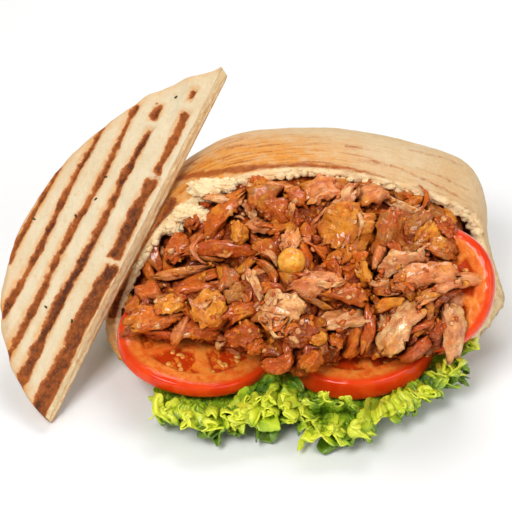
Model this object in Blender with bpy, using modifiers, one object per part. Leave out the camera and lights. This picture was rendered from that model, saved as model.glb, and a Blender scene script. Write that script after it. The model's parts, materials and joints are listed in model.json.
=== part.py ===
"""Chicken gyro pita: a grilled pocket of bread, the flap cut off it, and the filling in its mouth.

Metres, +Z up. The pocket lies on Z = 0 with its mouth towards -Y, and the flap leans on its left
shoulder. The loose meat is one solid: a core that fills the pocket, with the pieces that show on it.
"""

import math
import random

import bmesh
import bpy
from mathutils import Matrix, Vector, noise
from mathutils.bvhtree import BVHTree

GAP = 0.0004  # left between pieces that touch

# The pocket of bread
BREAD_WALL = 0.0056
MOUTH_HALF_WIDTH = 0.082
MOUTH_CENTRE_X = -0.0035
BELLY = 0.005  # how far the sides swell behind the mouth
BACK_Y = 0.092
BACK_RIM_Z = 0.009
LIP_TOP_Y, LIP_TOP_Z = 0.014, 0.077
LIP_BOTTOM_Y = -0.048
CORNER_LEFT_Y, CORNER_LEFT_Z = -0.020, 0.018
CORNER_RIGHT_Y, CORNER_RIGHT_Z = 0.020, 0.036
RIM_HALF_HEIGHT = 0.0066  # of the folded rim, where the two layers of bread meet
BASE_SINK = 0.0016  # how far the round underside is pressed flat
ROOF_SWELL = 0.0035
RIGHT_FLARE = 0.0145  # how far the lower lip spreads beyond the upper one at the right
ARCH_LEFT, ARCH_RIGHT = 1.54, 1.0  # powers of the mouth's arch: the right shoulder is the fuller
SHOULDER_SWELL = 0.55  # how much fuller it gets behind the mouth
AROUND, DEEP = 44, 11  # faces round the mouth, and from the mouth to the back

# The flap, a segment of the same round of bread
FLAP_CHORD = 0.172
FLAP_SAGITTA = 0.054
FLAP_THICKNESS = 0.0085
FLAP_SKEW = 0.13  # the round was a little oval, so the flap is fullest towards its lower end
FLAP_SLOPE = math.radians(34.0)  # of its straight cut edge
FLAP_HEADING = math.radians(59.4)  # of that edge, seen from above
FLAP_FOOT = Vector((-0.1063, -0.0644, -0.0007))  # lowest corner of its underside
GROOVE_DEPTH = 0.0007

# Tomato slices: centre, radius, thickness, and the way their cut face looks
TOMATOES = {
    "tomato_slice_left": (Vector((-0.0470, -0.0315, 0.0180)), 0.0338, 0.0058, Vector((0.14, -0.05, 0.99))),
    "tomato_slice_center": (Vector((0.0205, -0.0285, 0.0162)), 0.0335, 0.0095, Vector((-0.03, -0.07, 0.99))),
    "tomato_slice_right": (Vector((0.0518, -0.0325, 0.0462)), 0.0268, 0.0065, Vector((-0.42, -0.72, 0.55))),
}
SEED_CHAMBERS = 6
CHAMBER_DEPTH = 0.0012

# The lettuce leaf under the tomatoes
LEAF_THICKNESS = 0.0010
LEAF_LEFT_X, LEAF_RIGHT_X = -0.064, 0.068
LEAF_BACK_Y = -0.030
LEAF_FLAT_Z = 0.0072
LEAF_FOLDS = 8.5

# The meat
LOOK_DOWN = math.radians(34.0)  # pieces are laid out on the heap as seen from this height
HEAP_CENTRE = Vector((-0.0035, -0.0170, 0.0420))
HEAP_BULGE = Vector((0.0, -0.0095, 0.0118))
HEAP_ROUGHNESS = 0.0024
CORE_PLAY = 0.0012  # between the core and the bread, above and below
TOMATO_ROOM = 0.013  # how far the core stays above the lower bread at the mouth
HEAP_LOBES = (
    (Vector((0.0465, -0.0225, 0.0405)), Vector((0.0245, 0.0255, 0.0240))),
    (Vector((0.0460, -0.0430, 0.0365)), Vector((0.0165, 0.0110, 0.0190))),
    (Vector((-0.0020, -0.0460, 0.0270)), Vector((0.0200, 0.0120, 0.0110))),
    (Vector((-0.0560, -0.0290, 0.0290)), Vector((0.0200, 0.0140, 0.0090))),
    (Vector((0.0300, -0.0430, 0.0290)), Vector((0.0180, 0.0120, 0.0110))),
)
CHICKPEA_RADIUS = 0.0056
CHICKPEA_PLACE = (-0.0064, -0.0052)

parts = None
helpers = None


def start_scene():
    """Clear the scene and make one collection for the parts and one for the cutters."""
    global parts, helpers
    for old in list(bpy.data.objects):
        bpy.data.objects.remove(old, do_unlink=True)
    parts = bpy.data.collections.new("chicken_gyro_pita")
    helpers = bpy.data.collections.new("cutters")
    for collection in (parts, helpers):
        bpy.context.scene.collection.children.link(collection)


def finish_material(name, colour, roughness):
    material = bpy.data.materials.new(name)
    material.use_nodes = True
    shader = material.node_tree.nodes["Principled BSDF"]
    shader.inputs["Base Color"].default_value = (*colour, 1.0)
    shader.inputs["Roughness"].default_value = roughness
    shader.inputs["Metallic"].default_value = 0.0
    return material


def face_outwards(bm):
    """Point every face of a closed shape out."""
    bmesh.ops.recalc_face_normals(bm, faces=bm.faces)
    if bm.calc_volume(signed=True) < 0:
        bmesh.ops.reverse_faces(bm, faces=bm.faces)


def object_from(bm, name, material=None, helper=False):
    """A new object that takes the bmesh as its mesh."""
    mesh = bpy.data.meshes.new(name)
    bm.to_mesh(mesh)
    bm.free()
    made = bpy.data.objects.new(name, mesh)
    (helpers if helper else parts).objects.link(made)
    if material:
        mesh.materials.append(material)
    if helper:
        made.hide_render = True
        made.display_type = "WIRE"
    else:
        mesh.shade_smooth()
        mesh.set_sharp_from_angle(angle=math.radians(40))
    return made


def apply_boolean(target, other, operation, solver="EXACT"):
    """Join or cut the target with an object or a collection, and keep the result as its mesh."""
    modifier = target.modifiers.new(operation.lower(), "BOOLEAN")
    modifier.operation = operation
    modifier.solver = solver
    if isinstance(other, bpy.types.Collection):
        modifier.operand_type = "COLLECTION"
        modifier.collection = other
    else:
        modifier.object = other
    graph = bpy.context.evaluated_depsgraph_get()
    mesh = bpy.data.meshes.new_from_object(target.evaluated_get(graph))
    target.modifiers.clear()
    target.data = mesh


def keep_largest_island(target):
    """Drop the loose scraps that a cut leaves."""
    bm = bmesh.new()
    bm.from_mesh(target.data)
    left = set(bm.verts)
    islands = []
    while left:
        island, edge_of = set(), [left.pop()]
        while edge_of:
            vert = edge_of.pop()
            island.add(vert)
            for edge in vert.link_edges:
                other = edge.other_vert(vert)
                if other in left:
                    left.discard(other)
                    edge_of.append(other)
        islands.append(island)
    islands.sort(key=len)
    for scrap in islands[:-1]:
        bmesh.ops.delete(bm, geom=list(scrap), context="VERTS")
    bm.to_mesh(target.data)
    bm.free()


def between(start, end, share):
    return start + (end - start) * share


def lip_y(side, up):
    """Y of the mouth's edge; side runs from -1 at the left corner to 1 at the right one."""
    corner = between(CORNER_LEFT_Y, CORNER_RIGHT_Y, 0.5 + 0.5 * side)
    middle = LIP_TOP_Y if up > 0 else LIP_BOTTOM_Y
    return between(corner, middle, abs(up) ** 1.1)


def pocket_point(theta, depth, inset):
    """A point of the bread: theta goes round the mouth, depth from 0 at it to 1 at the back."""
    side, up = math.cos(theta), math.sin(theta)
    lift = abs(up)
    width = (MOUTH_HALF_WIDTH - 1.1 * inset) * (1 - depth**2.3) ** 0.5
    width += BELLY * math.sin(math.pi * depth)
    if up < 0:
        width += RIGHT_FLARE * max(0.0, side) ** 2 * min(1.0, 3 * lift) * (1 - depth) ** 4
    start_y = lip_y(side, up)
    y = between(start_y, BACK_Y - 1.6 * inset, depth)
    rim_z = between(between(CORNER_LEFT_Z, CORNER_RIGHT_Z, 0.5 + 0.5 * side), BACK_RIM_Z, depth**1.5)
    closing = (1 - depth**4) ** 0.5
    rim = (RIM_HALF_HEIGHT - inset) * lift**0.6 * closing
    if up > 0:
        roof = between(BACK_RIM_Z, LIP_TOP_Z, (1 - depth**2.6) ** 0.625)
        roof += ROOF_SWELL * math.sin(math.pi * depth) - inset
        arch = between(ARCH_LEFT, ARCH_RIGHT - SHOULDER_SWELL * math.sin(math.pi * depth), 0.5 + 0.5 * side)
        z = rim_z + rim + max(0.0, roof - rim_z - RIM_HALF_HEIGHT + inset) * lift**arch
    else:
        drop = max(0.0, rim_z - RIM_HALF_HEIGHT) * min(1.0, 1.15 * lift**0.7)
        z = rim_z - rim - (drop + BASE_SINK * min(1.0, 2 * lift)) * closing
        z = max(inset, z)
    return Vector((MOUTH_CENTRE_X + width * side, y, z))


def half_shell(bm, inset, mouth_shift=0.0):
    """Half a sphere from its primitive, drawn out into one face of the bread."""
    made = bmesh.ops.create_uvsphere(bm, u_segments=AROUND, v_segments=2 * DEEP, radius=1.0)
    verts = made["verts"]
    front = [v for v in verts if v.co.z < -1e-4]
    verts = [v for v in verts if v.co.z >= -1e-4]
    bmesh.ops.delete(bm, geom=front, context="VERTS")
    for vert in verts:
        theta = math.atan2(vert.co.y, vert.co.x)
        depth = min(1.0, max(0.0, vert.co.z))
        vert.co = pocket_point(theta, depth, inset)
        vert.co.y += mouth_shift * (1 - depth)


def bread_shell(name, material=None, grow=0.0, helper=False):
    """The pocket's two faces joined round the mouth; grow thickens it all over, for a cutter."""
    bm = bmesh.new()
    half_shell(bm, -grow, -grow)
    half_shell(bm, BREAD_WALL + grow, -grow)
    rim_edges = [e for e in bm.edges if e.is_boundary]
    bmesh.ops.bridge_loops(bm, edges=rim_edges)
    face_outwards(bm)
    return object_from(bm, name, material, helper)


CRUMB_TUFTS = (
    (Vector((-0.0400, 0.0125, 0.0640)), Vector((0.0075, 0.0032, 0.0036))),
    (Vector((-0.0500, 0.0070, 0.0530)), Vector((0.0065, 0.0034, 0.0040))),
)


def crumb_tuft(place, size, grow, name):
    """A torn tuft of crumb that hangs from the cut edge."""
    bm = bmesh.new()
    bmesh.ops.create_icosphere(bm, subdivisions=2, radius=1.0)
    for vert in bm.verts:
        rough = 1.0 + 0.30 * noise.noise(vert.co * 1.7 + place * 300)
        vert.co = Vector(vert.co[i] * (size[i] * rough + grow) for i in range(3)) + place
    return object_from(bm, name, helper=True)


def pita_pocket():
    crumb = finish_material("baked_bread", (0.80, 0.62, 0.38), 0.75)
    pocket = bread_shell("pita_pocket", crumb)
    for number, (place, size) in enumerate(CRUMB_TUFTS):
        tuft = crumb_tuft(place, size, 0.0, f"tuft_{number}")
        apply_boolean(pocket, tuft, "UNION")
        bpy.data.objects.remove(tuft, do_unlink=True)
    return pocket


def flap_frame():
    """The flap's own frame: X up along its cut edge, Y to its round side, Z out of its grilled face."""
    return (
        Matrix.Translation(FLAP_FOOT)
        @ Matrix.Rotation(FLAP_HEADING, 4, "Z")
        @ Matrix.Rotation(-FLAP_SLOPE, 4, "Y")
    )


# Grill marks on the flap: distance from the cut edge, then the start and end along that edge
GRILL_MARKS = (
    (0.0040, 0.006, 0.070),
    (0.0040, 0.078, 0.118),
    (0.0040, 0.124, 0.152),
    (0.0178, 0.004, 0.140),
    (0.0178, 0.146, 0.156),
    (0.0290, 0.016, 0.146),
    (0.0405, 0.034, 0.132),
    (0.0500, 0.058, 0.112),
)
GRILL_MARK_WIDTH = 0.0052


def flap_outline_radius():
    return (FLAP_CHORD**2 / 4 + FLAP_SAGITTA**2) / (2 * FLAP_SAGITTA)


def flap_plate():
    """The segment of a round: a disc cut straight, with its round edge softened."""
    radius = flap_outline_radius()
    bm = bmesh.new()
    bmesh.ops.create_cone(
        bm, cap_ends=True, segments=76, radius1=radius, radius2=radius, depth=FLAP_THICKNESS
    )
    for vert in bm.verts:
        angle = math.atan2(vert.co.y, vert.co.x)
        low_end = max(0.0, math.cos(angle - math.radians(146)))
        vert.co.xy *= 1.0 + 0.010 * low_end**6 * math.sin(17 * angle)
    bmesh.ops.translate(
        bm, verts=bm.verts, vec=(FLAP_CHORD / 2, FLAP_SAGITTA - radius, FLAP_THICKNESS / 2)
    )
    round_edges = [e for e in bm.edges if abs(e.verts[0].co.z - e.verts[1].co.z) < 1e-6]
    bmesh.ops.bevel(
        bm, geom=round_edges, offset=0.0028, segments=2, profile=0.5, affect="EDGES"
    )
    for vert in bm.verts:
        vert.co.x -= FLAP_SKEW * vert.co.y
    face_outwards(bm)
    return bm


def cut_side_block():
    """All that lies on the far side of the flap's straight cut."""
    size = 3 * FLAP_CHORD
    bm = bmesh.new()
    bmesh.ops.create_cube(bm, size=size)
    bmesh.ops.translate(bm, verts=bm.verts, vec=(0, -size / 2, 0))
    return object_from(bm, "cut_side", helper=True)


def grill_groove(distance, start, end, number):
    """A long shallow furrow where a bar of the grill pressed the crust."""
    bm = bmesh.new()
    bmesh.ops.create_uvsphere(bm, u_segments=8, v_segments=10, radius=1.0)
    bmesh.ops.rotate(bm, verts=bm.verts, cent=(0, 0, 0), matrix=Matrix.Rotation(math.pi / 2, 3, "Y"))
    half = (end - start) / 2
    for vert in bm.verts:
        along = vert.co.x
        blunt = math.copysign(abs(along) ** 0.6, along)
        fuller = 1.0 + 0.25 * noise.noise(Vector((along * 4, number, 0)))
        vert.co.x = start + half + blunt * half
        vert.co.y = distance + vert.co.y * GRILL_MARK_WIDTH / 2 * fuller
        vert.co.z = FLAP_THICKNESS + vert.co.z * GROOVE_DEPTH
    face_outwards(bm)
    return object_from(bm, f"groove_{number}", helper=True)


def pita_flap():
    crust = finish_material("grilled_crust", (0.82, 0.68, 0.45), 0.7)
    flap = object_from(flap_plate(), "pita_flap", crust)
    cut_side = cut_side_block()
    apply_boolean(flap, cut_side, "DIFFERENCE")
    bpy.data.objects.remove(cut_side, do_unlink=True)
    for number, mark in enumerate(GRILL_MARKS):
        groove = grill_groove(*mark, number)
        apply_boolean(flap, groove, "DIFFERENCE", "MANIFOLD")
        bpy.data.objects.remove(groove, do_unlink=True)
    flap.matrix_world = flap_frame()
    return flap


def face_frame(place, normal):
    """A frame at a place whose Z looks along the normal and whose X stays near level."""
    z = normal.normalized()
    x = Vector((1, 0, 0)) - z * z.x
    x.normalize()
    y = z.cross(x)
    turn = Matrix((x, y, z)).transposed().to_4x4()
    return Matrix.Translation(place) @ turn


def tomato_disc(radius, thickness, softening):
    bm = bmesh.new()
    bmesh.ops.create_cone(
        bm, cap_ends=True, segments=40, radius1=radius, radius2=radius, depth=thickness
    )
    for vert in bm.verts:
        angle = math.atan2(vert.co.y, vert.co.x)
        vert.co.xy *= 1.0 + 0.012 * math.cos(3 * angle + 200 * radius)
    if softening:
        rims = [e for e in bm.edges if abs(e.verts[0].co.z - e.verts[1].co.z) < 1e-6]
        bmesh.ops.bevel(bm, geom=rims, offset=softening, segments=2, profile=0.6, affect="EDGES")
    return bm


def seed_chamber(radius, thickness, number):
    """A kidney-shaped hollow in the cut face."""
    bm = bmesh.new()
    bmesh.ops.create_uvsphere(bm, u_segments=8, v_segments=5, radius=1.0)
    angle = math.tau * (number + 0.35) / SEED_CHAMBERS
    for vert in bm.verts:
        bend = angle + vert.co.y * 0.36
        reach = radius * (0.56 + 0.17 * vert.co.x)
        vert.co = Vector(
            (reach * math.cos(bend), reach * math.sin(bend), thickness / 2 + vert.co.z * CHAMBER_DEPTH)
        )
    face_outwards(bm)
    return object_from(bm, f"chamber_{number}", helper=True)


def tomato_slice(name, place, radius, thickness, normal):
    flesh = finish_material(name + "_flesh", (0.80, 0.10, 0.03), 0.3)
    made = object_from(tomato_disc(radius, thickness, 0.0016), name, flesh)
    for number in range(SEED_CHAMBERS):
        chamber = seed_chamber(radius, thickness, number)
        apply_boolean(made, chamber, "DIFFERENCE")
        bpy.data.objects.remove(chamber, do_unlink=True)
    made.matrix_world = face_frame(place, normal)
    return made


def tomato_clearance(name, place, radius, thickness, normal):
    """What the meat leaves free for a slice: the slice and, under a flat one, all below it."""
    flat = normal.z > 0.9
    deep = 0.03 if flat else thickness / 2 + GAP
    bm = tomato_disc(radius + GAP, 1.0, 0.0)
    for vert in bm.verts:
        vert.co.xy *= 1.008
        vert.co.z = thickness / 2 + GAP if vert.co.z > 0 else -deep
    made = object_from(bm, name + "_room", helper=True)
    made.matrix_world = face_frame(place, normal)
    return made


def leaf_front(x):
    """Y of the leaf's frilly edge."""
    t = (x - LEAF_LEFT_X) / (LEAF_RIGHT_X - LEAF_LEFT_X)
    left_swell = 0.013 * math.exp(-(((t - 0.18) / 0.12) ** 2))
    middle_swell = 0.016 * math.exp(-(((t - 0.60) / 0.11) ** 2))
    return -0.068 - left_swell - middle_swell + 0.026 * max(0.0, t - 0.72) / 0.28


def bread_floor(x):
    """Height of the lower bread's inner face at the mouth."""
    side = min(1.0, max(-1.0, (x - MOUTH_CENTRE_X) / (MOUTH_HALF_WIDTH - 1.1 * BREAD_WALL)))
    return pocket_point(-math.acos(side), 0.0, BREAD_WALL).z


def leaf_height(x, y, out):
    """Height of the leaf, flat between bread and tomato and frilled in front of them."""
    free = min(1.0, max(0.0, (-0.0655 - y) / 0.010)) if x < 0.045 else min(1.0, max(0.0, out - 0.6) / 0.4)
    t = (x - LEAF_LEFT_X) / (LEAF_RIGHT_X - LEAF_LEFT_X)
    fold = math.sin(math.tau * LEAF_FOLDS * t + 1.4 * math.sin(math.tau * 2 * t))
    frill = 0.0052 * free * fold + 0.0012 * free * math.sin(math.tau * 17 * t + 1.0)
    tip = 0.0085 * free * math.exp(-(((t - 0.545) / 0.045) ** 2))
    if x > 0.040:
        frill = min(frill, 0.0)
    lying = max(LEAF_FLAT_Z, bread_floor(x) + LEAF_THICKNESS + GAP)
    return max(0.0012, lying + frill + tip)


def lettuce_leaf():
    green = finish_material("lettuce_green", (0.38, 0.50, 0.05), 0.45)
    bm = bmesh.new()
    across, out_steps = 58, 8
    bmesh.ops.create_grid(bm, x_segments=across, y_segments=out_steps, size=1.0)
    for vert in bm.verts:
        x = between(LEAF_LEFT_X, LEAF_RIGHT_X, 0.5 + 0.5 * vert.co.x)
        out = 0.5 - 0.5 * vert.co.y
        y = between(LEAF_BACK_Y, leaf_front(x), out)
        vert.co = Vector((x, y, leaf_height(x, y, out)))
    bmesh.ops.triangulate(bm, faces=bm.faces)
    leaf = object_from(bm, "lettuce_leaf", green)
    wall = leaf.modifiers.new("thickness", "SOLIDIFY")
    wall.thickness = LEAF_THICKNESS
    wall.offset = 0.0
    return leaf


def heap_core(material):
    """The packed meat: the back half fills the pocket, the front half bulges out of the mouth."""
    bm = bmesh.new()
    bmesh.ops.create_uvsphere(bm, u_segments=28, v_segments=18, radius=1.0)
    inset = BREAD_WALL + GAP
    for vert in bm.verts:
        theta = math.atan2(vert.co.y, vert.co.x)
        depth = vert.co.z
        radial = math.sqrt(max(0.0, 1 - depth**2))
        point = pocket_point(theta, max(0.0, depth) * 0.86, inset)
        point.x = MOUTH_CENTRE_X + (point.x - MOUTH_CENTRE_X) * between(0.975, 0.88, max(0.0, depth))
        lift = math.sin(theta)
        if lift > 0:
            point.z -= CORE_PLAY
        else:
            point.z -= (CORE_PLAY + TOMATO_ROOM * max(0.0, 1 - depth * 2.2)) * max(-1.0, 1.6 * lift)
        if depth < 0:
            point = HEAP_CENTRE + (point - HEAP_CENTRE) * radial + HEAP_BULGE * (1 - radial**2)
        vert.co = point
    face_outwards(bm)
    core = object_from(bm, "chicken_filling", material)
    for number, (place, size) in enumerate(HEAP_LOBES):
        lobe = heap_lobe(place, size, number)
        apply_boolean(core, lobe, "UNION", "MANIFOLD")
        bpy.data.objects.remove(lobe, do_unlink=True)
    roughen(core.data)
    return core


def heap_lobe(place, size, number):
    bm = bmesh.new()
    bmesh.ops.create_uvsphere(bm, u_segments=14, v_segments=9, radius=1.0)
    for vert in bm.verts:
        vert.co = Vector(vert.co[i] * size[i] for i in range(3)) + place
    return object_from(bm, f"lobe_{number}", helper=True)


def roughen(mesh):
    """Lumps in the open part of the heap, none where it lies in the pocket."""
    for vert in mesh.vertices:
        open_share = min(1.0, max(0.0, (0.006 - vert.co.y) / 0.012))
        push = HEAP_ROUGHNESS * open_share * noise.noise(vert.co * 75)
        vert.co += vert.normal * push


class Heap:
    """Finds places on the heap by where they show from the front and above."""

    def __init__(self, core):
        graph = bpy.context.evaluated_depsgraph_get()
        self.tree = BVHTree.FromObject(core, graph)
        self.up = Vector((0, math.sin(LOOK_DOWN), math.cos(LOOK_DOWN)))
        self.away = Vector((0, math.cos(LOOK_DOWN), -math.sin(LOOK_DOWN)))

    def seat(self, x, up):
        start = Vector((x, 0, 0.040)) + self.up * up - self.away * 0.4
        hit, normal, _, _ = self.tree.ray_cast(start, self.away)
        if hit is None:
            hit, normal, _, _ = self.tree.find_nearest(start + self.away * 0.4)
        return hit, normal

    def shows(self, x, up):
        start = Vector((x, 0, 0.040)) + self.up * up - self.away * 0.4
        hit, _, _, _ = self.tree.ray_cast(start, self.away)
        return hit is not None

    def frame(self, x, up, turn):
        """A frame on the surface, Z out of it and X along the turn as it shows."""
        hit, normal = self.seat(x, up)
        seen = Vector((math.cos(turn), 0, 0)) + self.up * math.sin(turn)
        along = (seen - normal * seen.dot(normal)).normalized()
        across = normal.cross(along)
        return Matrix.Translation(hit) @ Matrix((along, across, normal)).transposed().to_4x4()


# Pieces of meat that show: x, height in the view, length, width, thickness, turn in degrees, bend
MEAT = (
    (-0.033, -0.001, 0.036, 0.0060, 0.0055, -8, 0.10),
    (-0.047, -0.006, 0.024, 0.0050, 0.0048, 13, -0.10),
    (-0.038, -0.010, 0.025, 0.0050, 0.0048, 12, 0.15),
    (-0.039, 0.016, 0.029, 0.0095, 0.0070, 48, 0.10),
    (-0.055, 0.003, 0.011, 0.0085, 0.0070, 60, 0.00),
    (-0.042, -0.021, 0.014, 0.0125, 0.0080, 70, 0.05),
    (-0.061, -0.023, 0.027, 0.0110, 0.0070, 18, 0.05),
    (-0.034, -0.028, 0.026, 0.0080, 0.0060, 27, 0.30),
    (-0.022, -0.012, 0.018, 0.0040, 0.0040, -62, 0.05),
    (-0.007, -0.026, 0.024, 0.0170, 0.0085, -20, 0.10),
    (-0.028, 0.010, 0.010, 0.0090, 0.0070, 10, 0.00),
    (0.019, 0.009, 0.024, 0.0200, 0.0085, -30, 0.05),
    (0.036, 0.009, 0.020, 0.0140, 0.0085, 75, 0.00),
    (0.011, 0.020, 0.022, 0.0150, 0.0080, 20, 0.10),
    (0.037, 0.021, 0.026, 0.0050, 0.0050, -26, -0.05),
    (0.053, 0.004, 0.020, 0.0155, 0.0080, 30, 0.05),
    (0.050, -0.010, 0.024, 0.0105, 0.0070, 8, 0.05),
    (0.055, -0.018, 0.022, 0.0065, 0.0055, 27, 0.10),
    (0.054, -0.032, 0.025, 0.0110, 0.0060, 75, 0.05),
    (0.038, -0.034, 0.022, 0.0190, 0.0075, 50, 0.10),
    (0.019, -0.030, 0.029, 0.0115, 0.0080, 14, 0.08),
    (0.002, -0.036, 0.017, 0.0140, 0.0080, 10, 0.00),
    (-0.003, -0.045, 0.015, 0.0120, 0.0070, 40, 0.00),
    (0.007, 0.000, 0.024, 0.0060, 0.0060, -55, 0.35),
    (0.022, -0.006, 0.014, 0.0120, 0.0070, -70, 0.00),
    (0.010, -0.015, 0.032, 0.0120, 0.0075, 5, 0.05),
    (0.029, -0.021, 0.018, 0.0042, 0.0045, -62, 0.20),
    (-0.016, 0.019, 0.018, 0.0130, 0.0080, -35, 0.05),
    (-0.012, 0.006, 0.016, 0.0100, 0.0070, 35, 0.05),
    (-0.016, -0.040, 0.020, 0.0100, 0.0065, -15, 0.10),
    (-0.050, -0.014, 0.018, 0.0080, 0.0065, -30, 0.10),
    (0.027, 0.022, 0.014, 0.0090, 0.0070, 60, 0.00),
)
SUNK = 0.25  # share of a piece's thickness that is in the core
MORE_PIECES = 7
RANDOM_START = 7


def more_meat(heap):
    """Smaller pieces between the ones listed, in the same form."""
    draw = random.Random(RANDOM_START)
    placed = [piece[:2] for piece in MEAT] + [CHICKPEA_PLACE]
    found = []
    while len(found) < MORE_PIECES:
        x, up = draw.uniform(-0.062, 0.060), draw.uniform(-0.042, 0.026)
        crowded = any(math.hypot(x - px, up - pu) < 0.0085 for px, pu in placed)
        if crowded or not heap.shows(x, up):
            continue
        placed.append((x, up))
        size = draw.uniform(0.011, 0.019), draw.uniform(0.0055, 0.0085), draw.uniform(0.0050, 0.0066)
        found.append((x, up, *size, draw.uniform(-80, 80), draw.uniform(-0.2, 0.2)))
    return found


def meat_piece(heap, number, x, up, length, width, thickness, turn, bend):
    """One torn piece, from a sphere primitive drawn out, bent and roughened."""
    frame = heap.frame(x, up, math.radians(turn))
    bm = bmesh.new()
    bmesh.ops.create_uvsphere(bm, u_segments=7, v_segments=6, radius=1.0)
    bmesh.ops.rotate(bm, verts=bm.verts, cent=(0, 0, 0), matrix=Matrix.Rotation(math.pi / 2, 3, "Y"))
    for vert in bm.verts:
        along, across, out = vert.co
        rough = 1.0 + 0.22 * noise.noise(vert.co * 1.6 + Vector((number * 3.1, 0, 0)))
        blunt = math.copysign(abs(along) ** 0.8, along)
        vert.co = Vector(
            (
                blunt * length / 2,
                across * width / 2 * rough + bend * length * (0.5 - along**2),
                out * thickness / 2 * rough + thickness * (0.5 - SUNK) - 0.10 * length * along**2,
            )
        )
    bmesh.ops.transform(bm, matrix=frame, verts=bm.verts)
    face_outwards(bm)
    return object_from(bm, f"meat_{number:02d}", helper=True)


def chickpea(heap):
    """The round yellow ball, with the small beak that a chickpea has."""
    ochre = finish_material("chickpea_skin", (0.74, 0.40, 0.08), 0.4)
    hit, normal = heap.seat(*CHICKPEA_PLACE)
    bm = bmesh.new()
    bmesh.ops.create_icosphere(bm, subdivisions=2, radius=CHICKPEA_RADIUS)
    for vert in bm.verts:
        beak = max(0.0, vert.co.normalized().dot(Vector((0.3, -0.5, 0.8)).normalized())) ** 12
        vert.co *= 1.0 + 0.10 * beak
        vert.co.x *= 0.97
    ball = object_from(bm, "chickpea", ochre)
    ball.location = hit + normal * CHICKPEA_RADIUS * 0.55
    return ball


def chickpea_clearance(ball):
    bm = bmesh.new()
    bmesh.ops.create_icosphere(bm, subdivisions=2, radius=CHICKPEA_RADIUS * 1.10 + GAP)
    made = object_from(bm, "chickpea_room", helper=True)
    made.location = ball.location
    return made


def chicken_filling():
    roast = finish_material("roast_chicken", (0.45, 0.17, 0.05), 0.4)
    core = heap_core(roast)
    heap = Heap(core)
    pieces = bpy.data.collections.new("meat_pieces")
    helpers.children.link(pieces)
    for number, piece in enumerate(MEAT + tuple(more_meat(heap))):
        made = meat_piece(heap, number, *piece)
        helpers.objects.unlink(made)
        pieces.objects.link(made)
    ball = chickpea(heap)
    apply_boolean(core, pieces, "UNION", "MANIFOLD")
    cutters = [tomato_clearance(name, *slice_of) for name, slice_of in TOMATOES.items()]
    cutters.append(bread_shell("bread_room", grow=GAP, helper=True))
    for number, (place, size) in enumerate(CRUMB_TUFTS):
        cutters.append(crumb_tuft(place, size, GAP, f"tuft_room_{number}"))
    cutters.append(chickpea_clearance(ball))
    bpy.context.view_layer.update()
    for cutter in cutters:
        apply_boolean(core, cutter, "DIFFERENCE", "MANIFOLD")
    for helper in cutters + list(pieces.objects):
        bpy.data.objects.remove(helper, do_unlink=True)
    bpy.data.collections.remove(pieces)
    keep_largest_island(core)
    core.data.shade_smooth()
    core.data.set_sharp_from_angle(angle=math.radians(40))
    return core


def main():
    start_scene()
    pita_pocket()
    pita_flap()
    for name, slice_of in TOMATOES.items():
        tomato_slice(name, *slice_of)
    lettuce_leaf()
    chicken_filling()


main()
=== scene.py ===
import json
import math
import random

import bmesh
import bpy
import numpy as np
from mathutils import Matrix, Vector, noise
from mathutils.bvhtree import BVHTree

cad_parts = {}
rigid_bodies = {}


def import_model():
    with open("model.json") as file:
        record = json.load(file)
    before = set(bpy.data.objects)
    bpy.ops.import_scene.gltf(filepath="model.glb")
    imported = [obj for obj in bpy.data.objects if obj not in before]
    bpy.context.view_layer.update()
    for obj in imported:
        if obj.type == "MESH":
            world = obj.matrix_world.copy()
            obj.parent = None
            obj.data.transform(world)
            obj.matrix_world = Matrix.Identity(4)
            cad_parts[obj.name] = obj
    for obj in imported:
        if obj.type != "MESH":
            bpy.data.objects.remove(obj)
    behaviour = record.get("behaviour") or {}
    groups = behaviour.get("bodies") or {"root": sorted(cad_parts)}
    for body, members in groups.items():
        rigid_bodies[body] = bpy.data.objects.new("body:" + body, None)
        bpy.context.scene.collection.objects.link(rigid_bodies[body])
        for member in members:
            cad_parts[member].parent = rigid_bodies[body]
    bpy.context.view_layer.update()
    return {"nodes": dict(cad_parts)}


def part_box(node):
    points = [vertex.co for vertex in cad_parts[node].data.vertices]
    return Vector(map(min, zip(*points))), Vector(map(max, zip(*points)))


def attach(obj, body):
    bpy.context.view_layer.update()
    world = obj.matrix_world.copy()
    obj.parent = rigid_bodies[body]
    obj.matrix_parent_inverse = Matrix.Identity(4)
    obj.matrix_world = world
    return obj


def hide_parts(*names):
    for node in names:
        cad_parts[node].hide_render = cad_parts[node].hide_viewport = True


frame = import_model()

draw = random.Random(4)

# how the gyro is looked at: places on it are given as x and height in this view, in metres
viewing = {
    "target": Vector((-0.0215, 0.0, 0.040)),
    "distance": 0.9,
    "height": math.radians(34.0),
    "lens": 147.5,
    "sensor": 36.0,
}
lookAlong = Vector((0.0, math.cos(viewing["height"]), -math.sin(viewing["height"])))
lookUp = Vector((0.0, math.sin(viewing["height"]), math.cos(viewing["height"])))
eye = viewing["target"] - lookAlong * viewing["distance"]
farFromMark = 9.0  # a gap to a scorched mark that leaves no trace; these gaps are in millimetres


def colour(red, green, blue):  # a colour in numbers from 0 to 255
    values = [value / 255 for value in (red, green, blue)]
    values = [value / 12.92 if value < 0.04045 else ((value + 0.055) / 1.055) ** 2.4 for value in values]
    return (*values, 1.0)


def mixed(start, end, share):
    return start + (end - start) * share


def smooth(edge, far, values):  # 0 at edge, 1 at far
    share = np.clip((values - edge) / (far - edge), 0.0, 1.0)
    return share * share * (3 - 2 * share)


def stacked(*columns):  # points from their columns, where a column may be one number
    return np.stack(np.broadcast_arrays(*columns), axis=1)


def moved(points, matrix):
    turn = np.array(matrix)
    return points @ turn[:3, :3].T + turn[:3, 3]


def frameOn(place, along, out):  # x runs along, z points out
    return Matrix.Translation(place) @ Matrix((along, out.cross(along), out)).transposed().to_4x4()


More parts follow.
